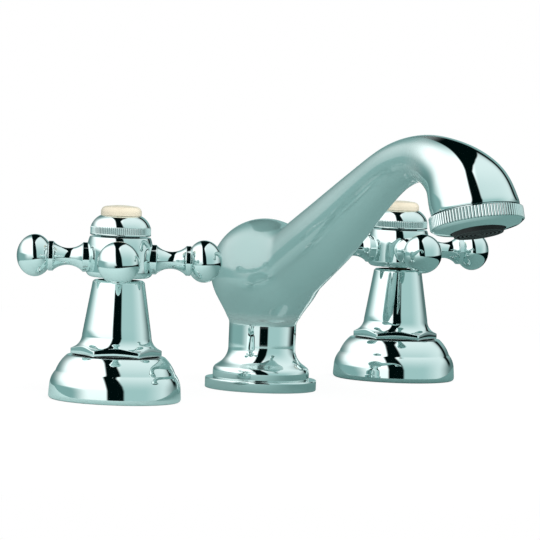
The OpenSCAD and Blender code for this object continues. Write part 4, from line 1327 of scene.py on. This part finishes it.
    def outlet_ring(self) -> None:
        """Turns the reeded ring of the outlet."""
        band_top = self.ring_gap
        band_foot = self.ring_gap + self.knurl_h
        cone, lip = self.ring_h - self.cone_h, self.ring_h - self.ring_lip
        under = self.ring_r - self.under_in
        bore, thread = self.ring_bore_r, self.thread_r + FIT
        outline = Outline().to((thread, band_top), (self.ring_r - 0.15, band_top))
        outline.to((self.ring_r, band_top + 0.15), (self.ring_r, band_foot - 0.1))
        outline.to((under, band_foot + 0.1), (under - 0.4, (band_foot + cone) / 2))
        outline.to((under - 1.2, cone), (bore, self.ring_h), (bore, lip), (thread, lip))
        profile = outline.eased(0.3, 0.002, 0.8)
        band = (band_top + 0.05, band_foot + 0.05)
        # Below this height, next to the casting, the ring gets painted shade.
        seam = band_top + 0.2
        mesh = reeded("aerator_ring_cap", profile, self.ring_reeds, self.reed_depth, band, seam)
        place(mesh, REEDED_CHROME, Body.SPOUT, "aerator_ring", self.at_mouth(), 40)

    def jet(self) -> None:
        """Turns the dark jet insert with its concentric grooves."""
        foot = self.ring_h - self.ring_lip
        top = foot - self.jet_flange_h
        face, floor = foot + self.jet_h, foot + self.jet_h - self.groove_depth
        foot = foot - 0.02
        edge = self.thread_r - FIT
        pitch = self.jet_face_r / (self.jet_grooves + 1)
        outline = Outline().to((0, top), (edge, top), (edge, foot), (self.jet_r, foot))
        outline.to((self.jet_face_r, face))
        for r in pitch * np.arange(self.jet_grooves, 0, -1):
            outline.to((r + 0.45, face), (r + 0.3, floor), (r - 0.3, floor), (r - 0.45, face))
        outline.to((0, face))
        mesh = turned("aerator_jet_insert", outline.eased(0.15), BUTTON_SIDES, True)
        place(mesh, JET, Body.SPOUT, "aerator_jet", self.at_mouth())


@dataclass
class Studio:
    """The camera, the floor, the lamps and the surroundings that the chrome mirrors."""

    azimuth: float = -53.767
    elevation: float = 3.648
    roll: float = 2.286
    distance: float = 1.7502
    target_h: float = 0.04
    focal_px: float = 4110.2
    centre_px: Pair = (263.9, 294.95)
    image_px: float = 540.0
    sensor: float = 36.0
    floor_size: float = 8.0
    table_r: float = 0.26
    panel: Colour = (1.35, 1.38, 1.38)
    strip: Colour = (0.0, 0.004, 0.004)
    dusk: Colour = (0.25, 0.43, 0.42)
    night: Colour = (0.085, 0.165, 0.16)
    table_near: Colour = (0.56, 0.72, 0.71)
    table_far: Colour = (0.16, 0.28, 0.27)
    table_glow: float = 0.1
    table_fade: Pair = (-0.24, 0.06)
    floor_glow: float = 0.88
    floor_fade: Pair = (0.25, 0.45)
    even: Colour = (0.75, 0.75, 0.75)
    panel_low: Colour = (0.42, 0.62, 0.61)
    panel_high: Colour = (0.88, 0.98, 0.98)
    panel_far: Colour = (0.86, 0.96, 0.96)
    rim_edges: Pair = (0.935, 0.982)
    rim_lean: float = 0.03
    soft: float = 0.02

    WHITE = (1.0, 1.0, 1.0)
    STRIP_LEFT = (
        (-1.0, -0.05), (-0.17, -0.05), (0.0, -0.1), (0.2, -0.12), (0.4, -0.14),
        (0.6, -0.16), (0.7, -0.19), (0.86, -0.28), (1.0, -0.4),
    )
    STRIP_RIGHT = (
        (-1.0, 0.2), (-0.13, 0.18), (0.0, 0.16), (0.2, 0.13), (0.4, 0.07),
        (0.6, 0.0), (0.7, 0.04), (0.8, 0.14), (0.88, 0.28), (1.0, 0.4),
    )
    PANEL_LEFT = ((-1.0, -0.5), (0.0, -0.52), (0.09, -0.8), (0.3, -0.85), (1.0, -0.85))
    HORIZON = (
        (-1.0, -0.14), (0.2, -0.13), (0.4, -0.12), (0.6, -0.1), (0.8, -0.05), (1.0, 0.01),
    )

    def build(self) -> None:
        """Builds the whole studio."""
        self.camera()
        self.floor()
        self.lamps()
        self.surroundings()
        bpy.context.scene.view_settings.view_transform = "Standard"

    def axes(self) -> tuple[Vector, Vector, Vector]:
        """Gives the camera's right, up and back directions before its roll."""
        a, e = math.radians(self.azimuth), math.radians(self.elevation)
        back = Vector((math.sin(a) * math.cos(e), -math.cos(a) * math.cos(e), math.sin(e)))
        right = Vector((math.cos(a), math.sin(a), 0))
        return right, back.cross(right), back

    def camera(self) -> None:
        """Stands the camera where the photograph was taken from."""
        right, up, back = self.axes()
        r = math.radians(self.roll)
        across = right * math.cos(r) + up * math.sin(r)
        upward = up * math.cos(r) - right * math.sin(r)
        spot = Vector((0, 0, self.target_h)) + back * self.distance
        lens = bpy.data.cameras.new("photo_camera")
        lens.sensor_width = self.sensor
        lens.lens = self.focal_px / self.image_px * self.sensor
        lens.shift_x = (self.image_px / 2 - self.centre_px[0]) / self.image_px
        lens.shift_y = (self.centre_px[1] - self.image_px / 2) / self.image_px
        lens.clip_end = 100
        camera = bpy.data.objects.new("photo_camera", lens)
        turn = Matrix((across, upward, back)).transposed().to_4x4()
        camera.matrix_world = Matrix.Translation(spot) @ turn
        link(camera)
        bpy.context.scene.camera = camera

    def floor(self) -> None:
        """Lays the pale floor, which keeps a soft shadow."""
        half = self.floor_size / 2
        corners = [(x * half, y * half, 0) for x, y in ((-1, -1), (1, -1), (1, 1), (-1, 1))]
        mesh = bpy.data.meshes.new("studio_floor")
        mesh.from_pydata(corners, [], [[0, 1, 2, 3]])
        piece = bpy.data.objects.new("studio_floor", mesh)
        link(piece)
        material = bpy.data.materials.new("pale_floor")
        material.use_nodes = True
        mesh.materials.append(material)
        canvas = Canvas(material.node_tree)
        spot = canvas.spot()
        away = spot.length()
        shown = self.lit_floor(canvas, self.WHITE, self.floor_glow)
        fade = away.smooth(*self.floor_fade)
        shown = canvas.mix_shaders(fade, shown, canvas.glow(self.WHITE))
        right, _, back = self.axes()
        behind = spot.along(tuple(0.8 * (right - back)))
        table = canvas.mix_shaders(
            behind.smooth(*self.table_fade),
            self.lit_floor(canvas, self.table_near, self.table_glow),
            self.lit_floor(canvas, self.table_far, self.table_glow),
        )
        beyond = (away - self.table_r).smooth(-self.soft / 2, self.soft / 2)
        clear = canvas.node("ShaderNodeBsdfTransparent", {}, {})
        reflected = canvas.mix_shaders(beyond, table, clear)
        both = canvas.mix_shaders(canvas.ray("Is Glossy Ray"), shown, reflected)
        canvas.node("ShaderNodeOutputMaterial", {}, {"Surface": both})

    @staticmethod
    def lit_floor(canvas: Canvas, colour: Colour, glow: float) -> Wire:
        """Gives a floor that partly glows, so that it keeps only a faint shadow."""
        plain = canvas.node("ShaderNodeBsdfDiffuse", {}, {"Color": (*colour, 1.0)})
        return canvas.mix_shaders(glow, plain, canvas.glow(colour))

    def lamps(self) -> None:
        """Hangs a soft key lamp and a weaker fill."""
        for name, spot, size, power in (
            ("key_lamp", (-0.9, -1.1, 1.5), 1.2, 22.0),
            ("fill_lamp", (1.4, -0.6, 1.2), 1.4, 8.0),
        ):
            data = bpy.data.lights.new(name, "AREA")
            data.size = size
            data.energy = power
            lamp = bpy.data.objects.new(name, data)
            aim = Vector((0, 0, 0.05)) - Vector(spot)
            turn = aim.to_track_quat("-Z", "Y").to_matrix().to_4x4()
            lamp.matrix_world = Matrix.Translation(spot) @ turn
            lamp.visible_glossy = False
            lamp.visible_camera = False
            link(lamp)

    def surroundings(self) -> None:
        """Paints the world: white behind, even light, and a studio for the chrome to mirror."""
        world = bpy.data.worlds.new("studio")
        world.use_nodes = True
        bpy.context.scene.world = world
        canvas = Canvas(world.node_tree)
        even = canvas.mix(canvas.ray("Is Glossy Ray"), self.even, self.mirrored(canvas))
        colour = canvas.mix(canvas.ray("Is Camera Ray"), even, self.WHITE)
        sky = canvas.node("ShaderNodeBackground", {}, {"Color": colour, "Strength": 1.0})
        canvas.node("ShaderNodeOutputWorld", {}, {"Surface": sky})

    def mirrored(self, canvas: Canvas) -> Wire:
        """Paints what the chrome mirrors.

        The places are those on a mirror ball that is seen from where the photograph was
        taken: across to the right and up, each from -1 to 1. They stay fixed in the scene.

        Args:
            canvas: the world's canvas.

        Returns:
            The colour in the ray's direction.
        """
        across, up, back = (tuple(way) for way in self.axes())
        ray = canvas.node("ShaderNodeTexCoord", {}, {}, "Generated")
        facing = ray.vector("ADD", back).vector("NORMALIZE")
        x, y = facing.along(across), facing.along(up)
        rim = canvas.node("ShaderNodeMath", {"operation": "SQRT"}, {0: x * x + y * y})
        rim_in, rim_out = (edge - self.rim_lean * x for edge in self.rim_edges)
        within = (rim_out - rim).smooth(0.0, self.soft)
        sharp = (-self.soft, self.soft)
        left = (x - self.curve(y, self.PANEL_LEFT)).smooth(-0.12, 0.16)
        left = left * y.smooth(-0.3, 0.12)
        left = left * (1 - (y + 0.35 * x * x).smooth(0.72, 0.92))
        right = canvas.mix(y.smooth(0.0, 0.75), self.panel_low, self.panel_high)
        right = canvas.mix(0.8 * x.smooth(0.45, 0.85), right, self.panel_far)
        shown = canvas.mix(left, self.dusk, self.panel)
        shown = canvas.mix(x.smooth(-0.02, 0.1), shown, right)
        shown = canvas.mix(0.85 * x.smooth(0.72, 0.94), shown, self.night)
        shown = canvas.mix(0.8 * rim.smooth(0.84, 0.99), shown, self.night)
        outside = (rim - rim_out).smooth(-self.soft, 0.0) * y.smooth(-0.15, 0.0)
        shown = canvas.mix(outside * y.smooth(0.3, 0.7), shown, self.dusk)
        line = (rim - rim_in).smooth(-self.soft, self.soft / 2) * within
        line = line * x.smooth(-0.36, -0.25) * y.smooth(0.05, 0.3)
        shown = canvas.mix(line, shown, self.strip)
        below = (self.curve(x, self.HORIZON) - y).smooth(*sharp)
        shown = canvas.mix(below * x.smooth(-0.2, -0.08), shown, self.strip)
        strip = (x - self.curve(y, self.STRIP_LEFT)).smooth(*sharp)
        strip = strip * (self.curve(y, self.STRIP_RIGHT) - x).smooth(*sharp)
        return canvas.mix(strip * within, shown, self.strip)

    @staticmethod
    def curve(value: Wire, stops: Sequence[Pair]) -> Wire:
        """Gives a curve through stops, with places and values from -1 to 1."""
        places = [((at + 1) / 2, ((v + 1) / 2,) * 3) for at, v in stops]
        place = {0: (value + 1) / 2}
        return 2 * value.canvas.node("ShaderNodeValToRGB", {"stops": places}, place) - 1


def main() -> None:
    """Builds the valves, the spout and the studio, in that order."""
    logging.basicConfig(level=logging.INFO, format="%(message)s")
    Valve(Side.HOT, Body.HOT_HEAD, 37.7).build()
    Valve(Side.COLD, Body.COLD_HEAD, 52.3).build()
    Spout().build()
    Studio().build()


if __name__ == "__main__":
    main()
